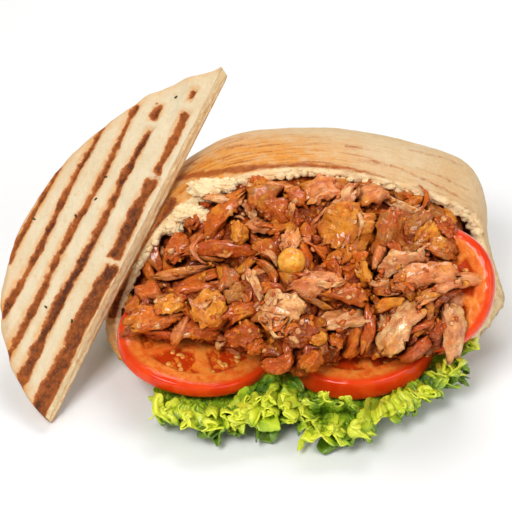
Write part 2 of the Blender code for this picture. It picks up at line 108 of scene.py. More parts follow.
def bumpiness(points, scale, shift=0.0, octaves=1):
    scaled = np.asarray(points) * scale + shift
    if octaves == 1:
        return np.array([noise.noise(Vector(point)) for point in scaled])
    return np.array([noise.fractal(Vector(point), 0.8, 2.1, octaves) for point in scaled])


def choose(*pieces):
    bpy.ops.object.select_all(action="DESELECT")
    for piece in pieces:
        piece.select_set(True)
    bpy.context.view_layer.objects.active = pieces[0]


def addPrimitive(kind, name, **settings):
    getattr(bpy.ops.mesh, f"primitive_{kind}_add")(**settings)
    piece = bpy.context.active_object
    piece.name = piece.data.name = name
    return piece


def duplicate(piece):
    copy = piece.copy()
    copy.data = piece.data.copy()
    bpy.context.collection.objects.link(copy)
    return copy


def pointsOf(piece):
    points = np.empty(len(piece.data.vertices) * 3)
    piece.data.vertices.foreach_get("co", points)
    return points.reshape(-1, 3)


def setPoints(piece, points):
    piece.data.vertices.foreach_set("co", np.ascontiguousarray(points, dtype=float).ravel())
    piece.data.update()


def normalsOf(piece):
    normals = np.empty(len(piece.data.vertices) * 3)
    piece.data.vertex_normals.foreach_get("vector", normals)
    return normals.reshape(-1, 3)


def mark(piece, **layers):  # keeps a number or a vector for each point, or one number for all
    for name, values in layers.items():
        values = np.asarray(values, dtype=float)
        if values.ndim == 0:
            values = np.full(len(piece.data.vertices), values)
        kind, field = ("FLOAT_VECTOR", "vector") if values.ndim == 2 else ("FLOAT", "value")
        layer = piece.data.attributes.get(name) or piece.data.attributes.new(name, kind, "POINT")
        layer.data.foreach_set(field, values.ravel())


def applyModifier(piece, kind, **settings):
    choose(piece)
    modifier = piece.modifiers.new(kind.lower(), kind)
    for name, value in settings.items():
        setattr(modifier, name, value)
    bpy.ops.object.modifier_apply(modifier=modifier.name)


def editAll(piece, step, **settings):  # one step of mesh editing on the whole piece
    choose(piece)
    bpy.ops.object.mode_set(mode="EDIT")
    bpy.ops.mesh.select_all(action="SELECT")
    step(**settings)
    bpy.ops.object.mode_set(mode="OBJECT")


def faceOutwards(piece):
    editAll(piece, bpy.ops.mesh.normals_make_consistent, inside=False)


def joinPieces(pieces, name):
    choose(*pieces)
    bpy.ops.object.join()
    pieces[0].name = pieces[0].data.name = name
    return pieces[0]


def finishPiece(piece, material, slot, *nodes):
    piece.data.materials.clear()
    piece.data.materials.append(material)
    piece.data.shade_smooth()
    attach(piece, "root")
    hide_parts(*nodes)
    print("made", piece.name, len(piece.data.polygons), "faces")


def subdividedBlock(name, cuts):  # a cube cut across each of its three directions
    block = addPrimitive("cube", name, size=2)
    bpy.ops.object.mode_set(mode="EDIT")
    bpy.ops.mesh.select_mode(type="EDGE")
    for axis, count in enumerate(cuts):
        bpy.ops.mesh.select_all(action="DESELECT")
        edges = bmesh.from_edit_mesh(block.data)
        for edge in edges.edges:
            run = edge.verts[1].co - edge.verts[0].co
            edge.select = abs(run[axis]) > 1e-5
        bmesh.update_edit_mesh(block.data)
        bpy.ops.mesh.subdivide(number_cuts=count)
    bpy.ops.object.mode_set(mode="OBJECT")
    return block


def inView(points):  # where points show: x and height, on the plane through the target
    offset = np.asarray(points) - np.array(viewing["target"])
    away = viewing["distance"] + offset @ np.array(lookAlong)
    near = viewing["distance"] / away
    return viewing["target"].x + offset[:, 0] * near, offset @ np.array(lookUp) * near


def fromLine(x, up, line):  # distance to a bent line in the view, and how far along it
    best = np.full(len(x), 1.0)
    share = np.zeros(len(x))
    for number, (start, end) in enumerate(zip(line, line[1:])):
        run = np.array(end) - np.array(start)
        along = ((x - start[0]) * run[0] + (up - start[1]) * run[1]) / (run @ run)
        held = np.clip(along, 0, 1)
        gap = np.hypot(x - start[0] - held * run[0], up - start[1] - held * run[1])
        closer = gap < best
        best = np.where(closer, gap, best)
        share = np.where(closer, (number + held) / (len(line) - 1), share)
    return best, share


class Nodes:  # a node tree that is easy to wire
    def __init__(self, tree):
        self.tree = tree

    def add(self, kind, inputs=None, **settings):
        node = self.tree.nodes.new("ShaderNode" + kind)
        for name, value in settings.items():
            setattr(node, name, value)
        for name, value in (inputs or {}).items():
            socket = node.inputs[name]
            if isinstance(value, bpy.types.NodeSocket):
                self.tree.links.new(value, socket)
            else:
                socket.default_value = value
        return node

    def wire(self, sockets, **links):
        for label, value in links.items():
            self.tree.links.new(value, sockets[label.replace("_", " ")])

    def math(self, operation, first, second=0.0):
        return self.add("Math", {0: first, 1: second}, operation=operation).outputs[0]

    def times(self, first, second):
        return self.math("MULTIPLY", first, second)

    def added(self, first, *others):  # a sum, where a pair is a value and how much of it counts
        total = self.times(*first) if isinstance(first, tuple) else first
        for other in others:
            total = self.math("ADD", total, self.added(other))
        return total

    def spread(self, value, low, high, newLow=0.0, newHigh=1.0):
        inputs = {"Value": value, "From Min": low, "From Max": high, "To Min": newLow, "To Max": newHigh}
        return self.add("MapRange", inputs, interpolation_type="SMOOTHSTEP").outputs["Result"]

    def mix(self, share, first, second, blend="MIX"):
        node = self.add("Mix", {0: share, 6: first, 7: second}, data_type="RGBA", blend_type=blend)
        return node.outputs[2]

    def between(self, share, first, second):
        return self.add("Mix", {0: share, 2: first, 3: second}, data_type="FLOAT").outputs[0]

    def painted(self, tone, *coats):  # each coat is its share and its colour
        for share, paint in coats:
            tone = self.mix(share, tone, paint)
        return tone

    def noise(self, vector, scale, detail=3.0, rough=0.55):
        inputs = {"Vector": vector, "Scale": scale, "Detail": detail, "Roughness": rough}
        return self.add("TexNoise", inputs).outputs["Fac"]

    def patches(self, vector, scale, detail, low, high, most=1.0):
        return self.spread(self.noise(vector, scale, detail), low, high, 0.0, most)

    def cells(self, vector, scale, feature="F1"):
        return self.add("TexVoronoi", {"Vector": vector, "Scale": scale}, feature=feature).outputs["Distance"]

    def stretched(self, vector, size):
        return self.add("Mapping", {"Vector": vector, "Scale": size}).outputs["Vector"]

    def attribute(self, name, output="Fac"):
        return self.add("Attribute", attribute_name=name).outputs[output]

    def place(self):
        return self.add("TexCoord").outputs["Object"]

    def wetted(self, vector, scale, wet, dry):
        inputs = {"Vector": vector, "Scale": scale, "Wet": wet, "Dry": dry}
        return self.add("Group", inputs, node_tree=wetSkin).outputs

    def bump(self, height, distance, strength):
        inputs = {"Height": height, "Strength": strength, "Distance": distance}
        return self.add("Bump", inputs).outputs["Normal"]


def newGroup(name, inputs, *outputs):  # an input without a value is a vector
    group = bpy.data.node_groups.new(name, "ShaderNodeTree")
    kinds = {type(None): "Vector", float: "Float", tuple: "Color"}
    for label, value in inputs.items():
        kind = "NodeSocket" + kinds[type(value)]
        socket = group.interface.new_socket(label, in_out="INPUT", socket_type=kind)
        if value is not None:
            socket.default_value = value
    for label in outputs:
        kind = "NodeSocketColor" if label == "Color" else "NodeSocketFloat"
        group.interface.new_socket(label, in_out="OUTPUT", socket_type=kind)
    given = group.nodes.new("NodeGroupInput").outputs
    result = group.nodes.new("NodeGroupOutput").inputs
    return group, Nodes(group), given, result


def newMaterial(name, **settings):
    material = bpy.data.materials.new(name)
    material.use_nodes = True
    sockets = material.node_tree.nodes["Principled BSDF"].inputs
    for label, value in settings.items():
        sockets[label.replace("_", " ")].default_value = value
    return material, Nodes(material.node_tree), sockets


def bakedCrustGroup():  # baked dough: pale crust, toasting, scorched marks and open crumb
    inputs = {
        "Vector": None,
        "Streaks": 0.5,
        "Toast": 0.0,
        "Scorch": 0.0,
        "Crumb": 0.0,
        "Pale": colour(226, 206, 170),
        "Warm": colour(214, 178, 128),
    }
    group, nodes, given, result = newGroup("bakedCrust", inputs, "Color", "Height", "Roughness")
    vector, streaks, toast, scorch = given["Vector"], given["Streaks"], given["Toast"], given["Scorch"]
    fine = nodes.noise(vector, 700.0, 3.0)
    mottle = nodes.noise(vector, 210.0, 4.0, 0.62)
    pores = nodes.spread(nodes.cells(vector, 620.0), 0.02, 0.24)
    # toasting is patchy, and runs in streaks along the fold of the bread
    toasted = nodes.times(toast, nodes.spread(mottle, 0.30, 0.60, 0.55, 1.0))
    streaked = nodes.spread(nodes.added(streaks, (fine, 0.22)), 0.62, 0.78)
    streaked = nodes.times(streaked, nodes.spread(toast, 0.10, 0.75, 0.04, 0.85))
    # a scorched mark is rusty, with darker char in it and light grains
    char = nodes.added(scorch, (nodes.added((mottle, 0.62), (fine, 0.38)), 1.5), -0.75)
    grains = nodes.times(nodes.patches(vector, 1500.0, 2.0, 0.60, 0.72, 0.6), scorch)
    crust = nodes.painted(
        given["Pale"],
        (nodes.times(nodes.patches(vector, 55.0, 4.0, 0.36, 0.66), 0.7), given["Warm"]),
        (nodes.spread(mottle, 0.56, 0.72, 0.0, 0.45), colour(206, 158, 100)),
        (nodes.spread(fine, 0.40, 0.66, 0.0, 0.30), colour(226, 210, 178)),
        (toasted, colour(218, 142, 50)),
        (streaked, colour(168, 94, 40)),
        (nodes.spread(streaks, 0.46, 0.34, 0.0, 0.45), colour(222, 186, 132)),
        (nodes.spread(scorch, 0.0, 0.5), colour(170, 88, 28)),
        (nodes.spread(char, 0.45, 1.15), colour(78, 34, 10)),
        (grains, colour(190, 116, 56)),
    )
    # the crumb is painted darker in its pores, as shade in the holes
    crumb = nodes.painted(
        colour(222, 170, 104),
        (pores, colour(254, 228, 180)),
        (nodes.patches(vector, 300.0, 3.0, 0.45, 0.70, 0.7), colour(244, 196, 130)),
    )
    crustHeight = nodes.added((fine, 0.45), (mottle, 0.8), (streaks, 0.9), (scorch, -0.4))
    crumbHeight = nodes.added((pores, 0.4), nodes.noise(vector, 900.0, 5.0, 0.65))
    nodes.wire(
        result,
        Color=nodes.mix(given["Crumb"], crust, crumb),
        Height=nodes.between(given["Crumb"], crustHeight, crumbHeight),
        Roughness=nodes.added(nodes.spread(fine, 0.3, 0.7, 0.55, 0.78), (toast, -0.12)),
    )
    return group


def wetSkinGroup():  # drier and wetter patches on moist food
    inputs = {"Vector": None, "Scale": 150.0, "Wet": 0.2, "Dry": 0.5}
    group, nodes, given, result = newGroup("wetSkin", inputs, "Roughness", "Mask", "Height")
    patches = nodes.noise(given["Vector"], given["Scale"], 3.0)
    mask = nodes.spread(patches, 0.40, 0.62)
    drying = {"Value": mask, "To Min": given["Dry"], "To Max": given["Wet"]}
    rough = nodes.add("MapRange", drying).outputs["Result"]
    nodes.wire(result, Roughness=rough, Mask=mask, Height=nodes.times(patches, 0.5))
    return group


def meatFibreGroup():  # torn roast meat: long fibres, spice glaze, browned and pale parts
    inputs = {"Fibre": None, "Vector": None, "Tint": colour(190, 105, 50), "Shade": 0.0, "Glaze": 0.5}
    group, nodes, given, result = newGroup("meatFibre", inputs, "Color", "Height")
    vector, tint, shade = given["Vector"], given["Tint"], given["Shade"]
    threads = nodes.noise(nodes.stretched(given["Fibre"], (0.30, 1.0, 1.0)), 1300.0, 4.0, 0.6)
    bundles = nodes.noise(nodes.stretched(given["Fibre"], (0.60, 1.0, 1.0)), 380.0, 3.0, 0.6)
    spice = nodes.noise(vector, 760.0, 4.0, 0.62)
    grains = nodes.noise(vector, 1700.0, 3.0, 0.6)
    glazed = nodes.times(nodes.spread(nodes.noise(vector, 150.0, 4.0, 0.6), 0.44, 0.60), given["Glaze"])
    tone = nodes.painted(
        nodes.mix(0.55, tint, colour(146, 58, 14)),
        (nodes.spread(bundles, 0.36, 0.60), tint),
        (nodes.spread(threads, 0.52, 0.74, 0.0, 0.55), nodes.mix(0.50, tint, colour(255, 226, 174))),
        (glazed, colour(206, 86, 20)),
        (nodes.spread(spice, 0.53, 0.64, 0.0, 0.60), colour(236, 138, 36)),
        (nodes.patches(vector, 95.0, 3.0, 0.55, 0.68, 0.55), colour(236, 164, 56)),
        (nodes.spread(grains, 0.58, 0.70, 0.0, 0.40), colour(250, 204, 130)),
        (nodes.spread(spice, 0.42, 0.30, 0.0, 0.35), colour(120, 50, 12)),
    )
    # painted shade darkens the gaps between pieces, and all of it is in one brown juice
    tone = nodes.painted(
        tone,
        (nodes.spread(shade, 0.05, 0.55), nodes.mix(0.6, tone, colour(150, 52, 10))),
        (nodes.spread(shade, 0.30, 1.0, 0.0, 0.97), colour(36, 10, 3)),
    )
    tone = nodes.mix(1.0, tone, colour(244, 227, 205), "MULTIPLY")
    height = nodes.added((threads, 0.25), (bundles, 0.8), (grains, 0.35), (spice, 0.8))
    nodes.wire(result, Color=tone, Height=height)
    return group


bakedCrust = bakedCrustGroup()
wetSkin = wetSkinGroup()
meatFibre = meatFibreGroup()


def breadMaterial(name, vector, pale, warm, wandering, streaks=None):
    material, nodes, shader = newMaterial(
        name,
        Subsurface_Weight=0.06,
        Subsurface_Scale=0.004,
        Subsurface_Radius=(1.0, 0.6, 0.35),
        Specular_IOR_Level=0.22,
    )
    place = nodes.attribute(vector, "Vector") if vector else nodes.place()
    # the edge of a mark is ragged, and wanders
    ragged, wander = nodes.noise(place, 380.0, 5.0, 0.7), nodes.noise(place, 110.0, 2.0)
    gap = nodes.added(nodes.attribute("markGap"), (ragged, 3.4), -1.7, (wander, wandering), -wandering / 2)
    inputs = {
        "Vector": place,
        "Toast": nodes.attribute("toast"),
        "Scorch": nodes.times(nodes.spread(gap, 0.8, -1.3), nodes.attribute("markDepth")),
        "Crumb": nodes.attribute("crumb"),
        "Pale": pale,
        "Warm": warm,
    }
    if streaks:
        run = nodes.stretched(nodes.attribute(streaks, "Vector"), (0.10, 1.0, 1.0))
        inputs["Streaks"] = nodes.noise(run, 520.0, 5.0, 0.6)
    dough = nodes.add("Group", inputs, node_tree=bakedCrust).outputs
    normal = nodes.bump(dough["Height"], 0.0008, 0.9)
    nodes.wire(shader, Base_Color=dough["Color"], Roughness=dough["Roughness"], Normal=normal)
    return material


# the pocket of bread
pocket = {
    "wall": 0.0056,
    "mouthHalfWidth": 0.082,
    "mouthCentreX": -0.0035,
    "belly": 0.005,
    "backY": 0.092,
    "backRimZ": 0.009,
    "lipTopY": 0.014,
    "lipTopZ": 0.077,
    "lipBottomY": -0.048,
    "cornerLeft": (-0.020, 0.018),
    "cornerRight": (0.020, 0.036),
    "rimHalfHeight": 0.0066,
    "baseSink": 0.0016,
    "roofSwell": 0.0035,
    "archLeft": 1.54,
    "archRight": 1.0,
    "shoulderSwell": 0.55,
    "rightFlare": 0.0145,
    "around": 300,
    "outerRings": 96,
    "rimRings": 9,
    "innerRings": 40,
    "edgeBulge": 0.0011,
    "tornDepth": 0.0017,
    "rippleDepth": 0.00022,
    "waveDepth": 0.0007,
    "depthLength": 0.09,
}
# scorched lines on the roof, as they show: points, half width at the start and at the end, and how dark
roofMarks = (
    (
        ((-0.0640, 0.0304), (-0.0513, 0.0342), (-0.0354, 0.0365), (-0.0172, 0.0381), (0.0010, 0.0388)),
        (0.0012, 0.0014, 0.62),
    ),
    (
        ((0.0010, 0.0388), (0.0131, 0.0379), (0.0268, 0.0356), (0.0359, 0.0320), (0.0404, 0.0292)),
        (0.0014, 0.0005, 0.55),
    ),
    (((-0.0600, 0.0368), (-0.0420, 0.0408), (-0.0300, 0.0424)), (0.0004, 0.0004, 0.40)),
    (((0.0175, 0.0471), (0.0236, 0.0464)), (0.0006, 0.0005, 0.40)),
    (((0.0265, 0.0412), (0.0400, 0.0378), (0.0530, 0.0318), (0.0655, 0.0255)), (0.0004, 0.0006, 0.42)),
    (((0.0450, 0.0390), (0.0600, 0.0332), (0.0700, 0.0280)), (0.0003, 0.0004, 0.34)),
    (((0.0438, 0.0455), (0.0580, 0.0425), (0.0675, 0.0386)), (0.0003, 0.0004, 0.34)),
    (((-0.0572, 0.0235), (-0.0684, 0.0030), (-0.0778, -0.0146), (-0.0826, -0.0250)), (0.0018, 0.0022, 0.9)),
)
# the marks of the grill's bars further back on the roof
backMarks = {
    "count": 5,
    "firstY": 0.046,
    "apart": 0.0125,
    "halfWidth": 0.0012,
    "bend": 0.0020,
    "lowestZ": 0.025,
}
# torn crumb on the edge of the mouth: tufts with their place and size, and small flakes between two angles
crumbEdge = {
    "tufts": (
        ((-0.0420, 0.0100, 0.0680), (0.0078, 0.0036, 0.0044)),
        ((-0.0350, 0.0095, 0.0700), (0.0052, 0.0030, 0.0030)),
        ((-0.0400, 0.0090, 0.0655), (0.0040, 0.0026, 0.0034)),
        ((-0.0500, 0.0030, 0.0600), (0.0066, 0.0040, 0.0040)),
        ((-0.0450, 0.0015, 0.0590), (0.0044, 0.0030, 0.0036)),
        ((-0.0560, 0.0030, 0.0535), (0.0044, 0.0034, 0.0050)),
    ),
    "flakes": 44,
    "from": 48,
    "to": 152,
    "flakeSize": ((0.0010, 0.0026), (0.0008, 0.0018), (0.0010, 0.0022)),
}


def randomSize(ranges):
    return [draw.uniform(*limits) for limits in ranges]


def lipY(side, up):
    corner = mixed(pocket["cornerLeft"][0], pocket["cornerRight"][0], 0.5 + 0.5 * side)
    middle = np.where(up > 0, pocket["lipTopY"], pocket["lipBottomY"])
    return mixed(corner, middle, np.abs(up) ** 1.1)


def pocketPoints(theta, depth, inset):  # depth is 0 at the mouth and 1 at the back
    p = pocket
    side, up = np.cos(theta), np.sin(theta)
    lift, rightward, swell = np.abs(up), 0.5 + 0.5 * side, np.sin(np.pi * depth)
    width = (p["mouthHalfWidth"] - 1.1 * inset) * (1 - depth**2.3) ** 0.5 + p["belly"] * swell
    flare = np.maximum(0.0, side) ** 2 * np.minimum(1.0, 3 * lift) * (1 - depth) ** 4
    width = width + np.where(up < 0, p["rightFlare"] * flare, 0.0)
    y = mixed(lipY(side, up), p["backY"] - 1.6 * inset, depth)
    cornerZ = mixed(p["cornerLeft"][1], p["cornerRight"][1], rightward)
    rimZ = mixed(cornerZ, p["backRimZ"], depth**1.5)
    closing = (1 - depth**4) ** 0.5
    rim = (p["rimHalfHeight"] - inset) * lift**0.6 * closing
    roof = mixed(p["backRimZ"], p["lipTopZ"], (1 - depth**2.6) ** 0.625) + p["roofSwell"] * swell - inset
    arch = mixed(p["archLeft"], p["archRight"] - p["shoulderSwell"] * swell, rightward)
    above = rimZ + rim + np.maximum(0.0, roof - rimZ - p["rimHalfHeight"] + inset) * lift**arch
    drop = np.maximum(0.0, rimZ - p["rimHalfHeight"]) * np.minimum(1.0, 1.15 * lift**0.7)
    below = rimZ - rim - (drop + p["baseSink"] * np.minimum(1.0, 2 * lift)) * closing
    z = np.where(up > 0, above, np.maximum(inset, below))
    return stacked(p["mouthCentreX"] + width * side, y, z)


def makePocket():
    p = pocket
    rings = p["outerRings"] + p["rimRings"] + p["innerRings"]
    piece = addPrimitive("uv_sphere", "pitaPocketBread", segments=p["around"], ring_count=rings, radius=1.0)
    ball = pointsOf(piece)
    ring = np.arccos(np.clip(ball[:, 2], -1, 1)) / np.pi * rings
    theta = np.arctan2(ball[:, 1], ball[:, 0])
    outer = np.clip(1 - ring / p["outerRings"], 0, 1)
    inner = np.clip((ring - p["outerRings"] - p["rimRings"]) / p["innerRings"], 0, 1)
    across = np.clip((ring - p["outerRings"]) / p["rimRings"], 0, 1)  # 0 on the crust, 1 inside
    depth = np.sin(np.pi / 2 * np.where(across < 0.5, outer, inner) ** 1.5)
    points = mixed(pocketPoints(theta, depth, 0.0), pocketPoints(theta, depth, p["wall"]), across[:, None])
    # the torn edge bulges a little and is ragged
    points[:, 1] -= p["edgeBulge"] * np.sin(np.pi * across) * (depth < 1e-6)
    setPoints(piece, points)
    faceOutwards(piece)
    normals = normalsOf(piece)
    nearMouth = smooth(0.0035, 0.0, depth * p["depthLength"]) * (across > 0)
    tear = bumpiness(points, 260.0, 3.0, 3) * 0.9 + bumpiness(points, 900.0, 7.0, 2) * 0.5
    points += normals * (tear * p["tornDepth"] * nearMouth)[:, None]
    ripple = bumpiness(points * [0.35, 1.0, 1.0], 300.0, 1.0, 2) * p["rippleDepth"]
    ripple += bumpiness(points, 45.0, 2.0) * p["waveDepth"]
    onCrust = (across <= 0) * smooth(0.0, 0.02, depth) * smooth(0.0, 0.006, points[:, 2])
    points += normals * (ripple * onCrust)[:, None]
    points[:, 2] = np.maximum(points[:, 2], 0.0)
    setPoints(piece, points)

    leftWall = smooth(0.55, 0.95, -np.cos(theta)) * smooth(0.95, 0.2, np.sin(theta))
    crustEdge = 0.05 + 0.52 * leftWall
    markPocket(piece, points, normals, across, crustEdge)
    toastPocket(piece, points, depth, across, leftWall)
    turned = (theta + 2.5 * np.pi) % (2 * np.pi)
    rimPlace = stacked(turned * 0.08, depth * 0.10 + 0.004 * across, 0.0)
    mark(piece, crumb=smooth(0.0, 0.16, across - crustEdge), rimPlace=rimPlace)
    return piece


def markPocket(piece, points, normals, across, crustEdge):
    x, up = inView(points)
    towards = normals @ np.array(lookAlong) < 0.15
    marked = (towards | (across > 0)) & (across <= crustEdge + 0.12)
    gap = np.full(len(points), farFromMark)
    markDepth = np.full(len(points), 0.8)
    for line, (startWidth, endWidth, dark) in roofMarks:
        distance, share = fromLine(x, up, line)
        inside = np.where(marked, (distance - mixed(startWidth, endWidth, share)) * 1000, farFromMark)
        markDepth = np.where(inside < np.minimum(gap, 4.0), dark, markDepth)
        gap = np.minimum(gap, inside)
    bars = backMarks
    hidden = (points[:, 2] > bars["lowestZ"]) & (across <= 0) & ~towards
    ending = farFromMark * smooth(0.045, 0.060, np.abs(points[:, 0] + 0.005))
    for number in range(bars["count"]):
        middle = bars["firstY"] + bars["apart"] * number + bars["bend"] * np.sin(points[:, 0] * 60)
        away = np.abs(points[:, 1] - middle) - bars["halfWidth"]
        gap = np.minimum(gap, np.where(hidden, away * 1000 + ending, farFromMark))
    mark(piece, markGap=gap, markDepth=markDepth)


def toastPocket(piece, points, depth, across, leftWall):
    x, z = inView(points)[0], points[:, 2]
    fromMouth = depth * pocket["depthLength"] * (across <= 0)
    golden = 1.15 * smooth(0.046, -0.036, x) * smooth(0.020, 0.040, z)
    toast = golden * (0.35 + 0.65 * smooth(0.034, 0.006, fromMouth)) * smooth(0.060, 0.030, fromMouth)
    toast += 0.25 * smooth(0.050, 0.0, fromMouth) * smooth(0.030, 0.050, z)
    toast += 0.7 * leftWall * (across > 0)
    toast += 0.45 * smooth(0.010, 0.0, fromMouth) * smooth(0.02, 0.0, z)
    toast += 0.55 * smooth(0.55, 0.95, depth)
    mark(piece, toast=np.clip(toast, 0, 1))


def makeTufts():  # torn crumb that hangs from the edge of the mouth
    count, places = crumbEdge["flakes"], list(crumbEdge["tufts"])
    degrees = np.linspace(crumbEdge["from"], crumbEdge["to"], count)
    theta = np.radians(degrees + np.array([draw.uniform(-2, 2) for _ in range(count)]))
    for point in pocketPoints(theta, np.zeros(count), 0.62 * pocket["wall"]):
        size = randomSize(crumbEdge["flakeSize"])
        places.append((point - [0, draw.uniform(0.0, 0.0014), draw.uniform(-0.0004, 0.0016)], size))
    tufts = []
    for number, (place, size) in enumerate(places):
        fineness = 5 if number < len(crumbEdge["tufts"]) else 3
        tuft = addPrimitive("ico_sphere", f"tuft{number}", subdivisions=fineness, radius=1.0)
        ball = pointsOf(tuft)
        lumps = 1 + 0.34 * bumpiness(ball, 2.2, number * 5.0, 3) + 0.12 * bumpiness(ball, 8.0, number, 2)
        setPoints(tuft, ball * lumps[:, None] * np.array(size) + np.array(place))
        tufts.append(tuft)
    piece = joinPieces(tufts, "crumbTufts")
    mark(piece, markGap=farFromMark, markDepth=0.0, toast=0.0, crumb=1.0, rimPlace=pointsOf(piece))
    return piece


breadFinish = breadMaterial("bakedBread", None, colour(214, 192, 154), colour(204, 166, 114), 1.6, "rimPlace")
finishPiece(makePocket(), breadFinish, "baked_bread", "pita_pocket")
finishPiece(makeTufts(), breadFinish, "baked_bread", "pita_pocket")


# the flap that leans on the pocket
flap = {
    "chord": 0.172,
    "sagitta": 0.054,
    "thickness": 0.0085,
    "skew": 0.13,
    "slope": math.radians(34.0),
    "heading": math.radians(59.4),
    "foot": Vector((-0.1063, -0.0644, -0.0007)),
    "roundOff": 0.0030,
    "edgeHalf": 0.0010,
    "cuts": (259, 99, 17),
    "pressed": 0.0007,
    "blister": 0.0030,
    "fine": 0.00030,
    "seam": 0.0006,
}
# bars of the grill: distance from the cut, start and end along it, and width at the start and at the end
flapMarks = (
    (0.0042, -0.002, 0.0705, 0.0088, 0.0066),
    (0.0050, 0.0740, 0.1125, 0.0066, 0.0050),
    (0.0056, 0.1165, 0.1465, 0.0030, 0.0040),
    (0.0062, 0.1525, 0.1575, 0.0014, 0.0018),
    (0.0181, 0.0010, 0.1340, 0.0058, 0.0026),
    (0.0192, 0.1390, 0.1470, 0.0036, 0.0034),
    (0.0290, 0.0110, 0.1430, 0.0042, 0.0026),
    (0.0400, 0.0330, 0.1400, 0.0042, 0.0016),
    (0.0500, 0.0570, 0.1230, 0.0022, 0.0022),
)


def flapGap(points, out, w):  # how far each point is from a mark, in millimetres
    gap = np.full(len(points), farFromMark)
    for distance, start, end, lowWidth, highWidth in flapMarks:
        run = np.clip((points[:, 0] - start) / (end - start), 0, 1)
        wander = 0.0005 * np.sin(points[:, 0] * 95 + distance * 900)
        sideways = np.abs(out - distance - wander) - mixed(lowWidth, highWidth, run) / 2
        beyond = np.maximum(start - points[:, 0], points[:, 0] - end)
        gap = np.minimum(gap, np.maximum(sideways, beyond) * 1000)
    return np.where(w > 0.5, gap, gap + 6 * smooth(0.0, 1.0, np.abs(np.sin(out * 270))) + 0.6)


def makeFlap():
    f = flap
    piece = subdividedBlock("pitaFlapBread", f["cuts"])
    u, v, w = (pointsOf(piece).T + 1) / 2
    radius = (f["chord"] ** 2 / 4 + f["sagitta"] ** 2) / (2 * f["sagitta"])
    along = f["chord"] * (0.003 + 0.994 * u)
    reach = np.sqrt(radius**2 - (along - f["chord"] / 2) ** 2) - (radius - f["sagitta"])
    scallop = 1 + 0.022 * smooth(0.42, 0.0, u) * np.sin(along * 420) + 0.006 * np.sin(along * 170 + 1)
    share = 1 - (1 - v) ** 1.4
    out = share * reach * scallop
    edge = (1 - share) * reach
    gone = np.clip(1 - edge / f["roundOff"], 0, 1)
    rounding = 1 - np.sqrt(np.clip(1 - gone**2, 0, 1))
    half = f["thickness"] / 2
    level = half + (w * 2 - 1) * (half - rounding * (half - f["edgeHalf"]))
    points = stacked(along - f["skew"] * out, out, level)

    gap = flapGap(points, out, w)
    onTop, onCut = w > 0.5, v < 0.02
    pressed = smooth(0.6, -1.0, gap) * f["pressed"] * onTop
    blister = np.maximum(0, bumpiness(points, 70.0, 4.0, 2) - 0.12) * f["blister"]
    fine = bumpiness(points, 330.0, 6.0, 2) * f["fine"]
    points[:, 2] += (blister * (gap > 1.0) + fine - pressed) * smooth(0.80, 1.0, w) * (v > 0)
    # the knife left an open, slightly torn face, where the two layers of the bread meet in a seam
    inner = smooth(0.0012, 0.0, out) * onCut * np.sin(np.pi * np.clip(w, 0, 1)) ** 0.5
    torn = bumpiness(points, 420.0, 8.0, 3) * 0.0006 - 0.0004
    seam = np.exp(-(((w - 0.40 - 0.04 * np.sin(along * 60)) / 0.05) ** 2)) * onCut
    points[:, 1] += torn * inner + f["seam"] * seam
    points[:, 2] = np.clip(points[:, 2], 0.0, None)

    mark(piece, flapPlace=points, markGap=np.where(onCut & (w < 0.93), farFromMark, gap))
    mark(piece, crumb=onCut * smooth(0.10, 0.20, w) * smooth(0.99, 0.86, w) * (1 - 0.85 * seam))
    mark(piece, markDepth=0.84 + 0.30 * bumpiness(points * [1.0, 2.5, 1.0], 34.0, 5.0, 2))
    toast = smooth(0.010, 0.0, edge) * 0.35 + onCut * (w < 0.16) * 0.9
    toast += smooth(2.2, 0.2, gap) * 0.50 * onTop + 0.9 * seam
    mark(piece, toast=np.clip(toast, 0, 1))
    heading, slope = Matrix.Rotation(f["heading"], 4, "Z"), Matrix.Rotation(-f["slope"], 4, "Y")
    setPoints(piece, moved(points, Matrix.Translation(f["foot"]) @ heading @ slope))
    faceOutwards(piece)
    return piece


flapFinish = breadMaterial("grilledCrust", "flapPlace", colour(216, 199, 166), colour(209, 184, 144), 4.6)
finishPiece(makeFlap(), flapFinish, "grilled_crust", "pita_flap")


# tomato slices: the name of the piece, middle, radius, thickness and the way the face looks
tomatoes = {
    "tomato_slice_left": ("Left", (-0.0470, -0.0315, 0.0180), 0.0338, 0.0058, (0.14, -0.05, 0.99)),
    "tomato_slice_center": ("Center", (0.0205, -0.0285, 0.0162), 0.0335, 0.0095, (-0.03, -0.07, 0.99)),
    "tomato_slice_right": ("Right", (0.0518, -0.0325, 0.0462), 0.0268, 0.0065, (-0.42, -0.72, 0.55)),
}
slicing = {
    "around": 220,
    "rings": 110,
    "faceShare": 0.42,
    "chambers": 6,
    "fleshRing": 0.78,
    "core": 0.30,
    "gelSink": 0.0009,
    "skinRound": 0.0014,
    "skinFold": 0.00035,
    "grain": 0.00022,
    "seedLength": 0.0030,
    "seedShape": (0.34, 0.20),
    "seedsEach": 6,
    "seedLift": 0.0001,
}


def faceFrame(place, normal):
    out = Vector(normal).normalized()
    along = (Vector((1, 0, 0)) - out * out.x).normalized()
    return frameOn(place, along, out)


def chamberMask(rho, angle, seed):  # 1 in a seed chamber, 0 in the flesh
    turn = (angle / math.tau * slicing["chambers"] + 0.35 + 0.08 * np.sin(angle * 2 + seed)) % 1.0
    fromWall = np.minimum(turn, 1 - turn) * math.tau / slicing["chambers"] * rho
    inner, outer = slicing["core"], slicing["fleshRing"]
    return smooth(inner, inner + 0.07, rho) * smooth(outer, outer - 0.06, rho) * smooth(0.045, 0.10, fromWall)


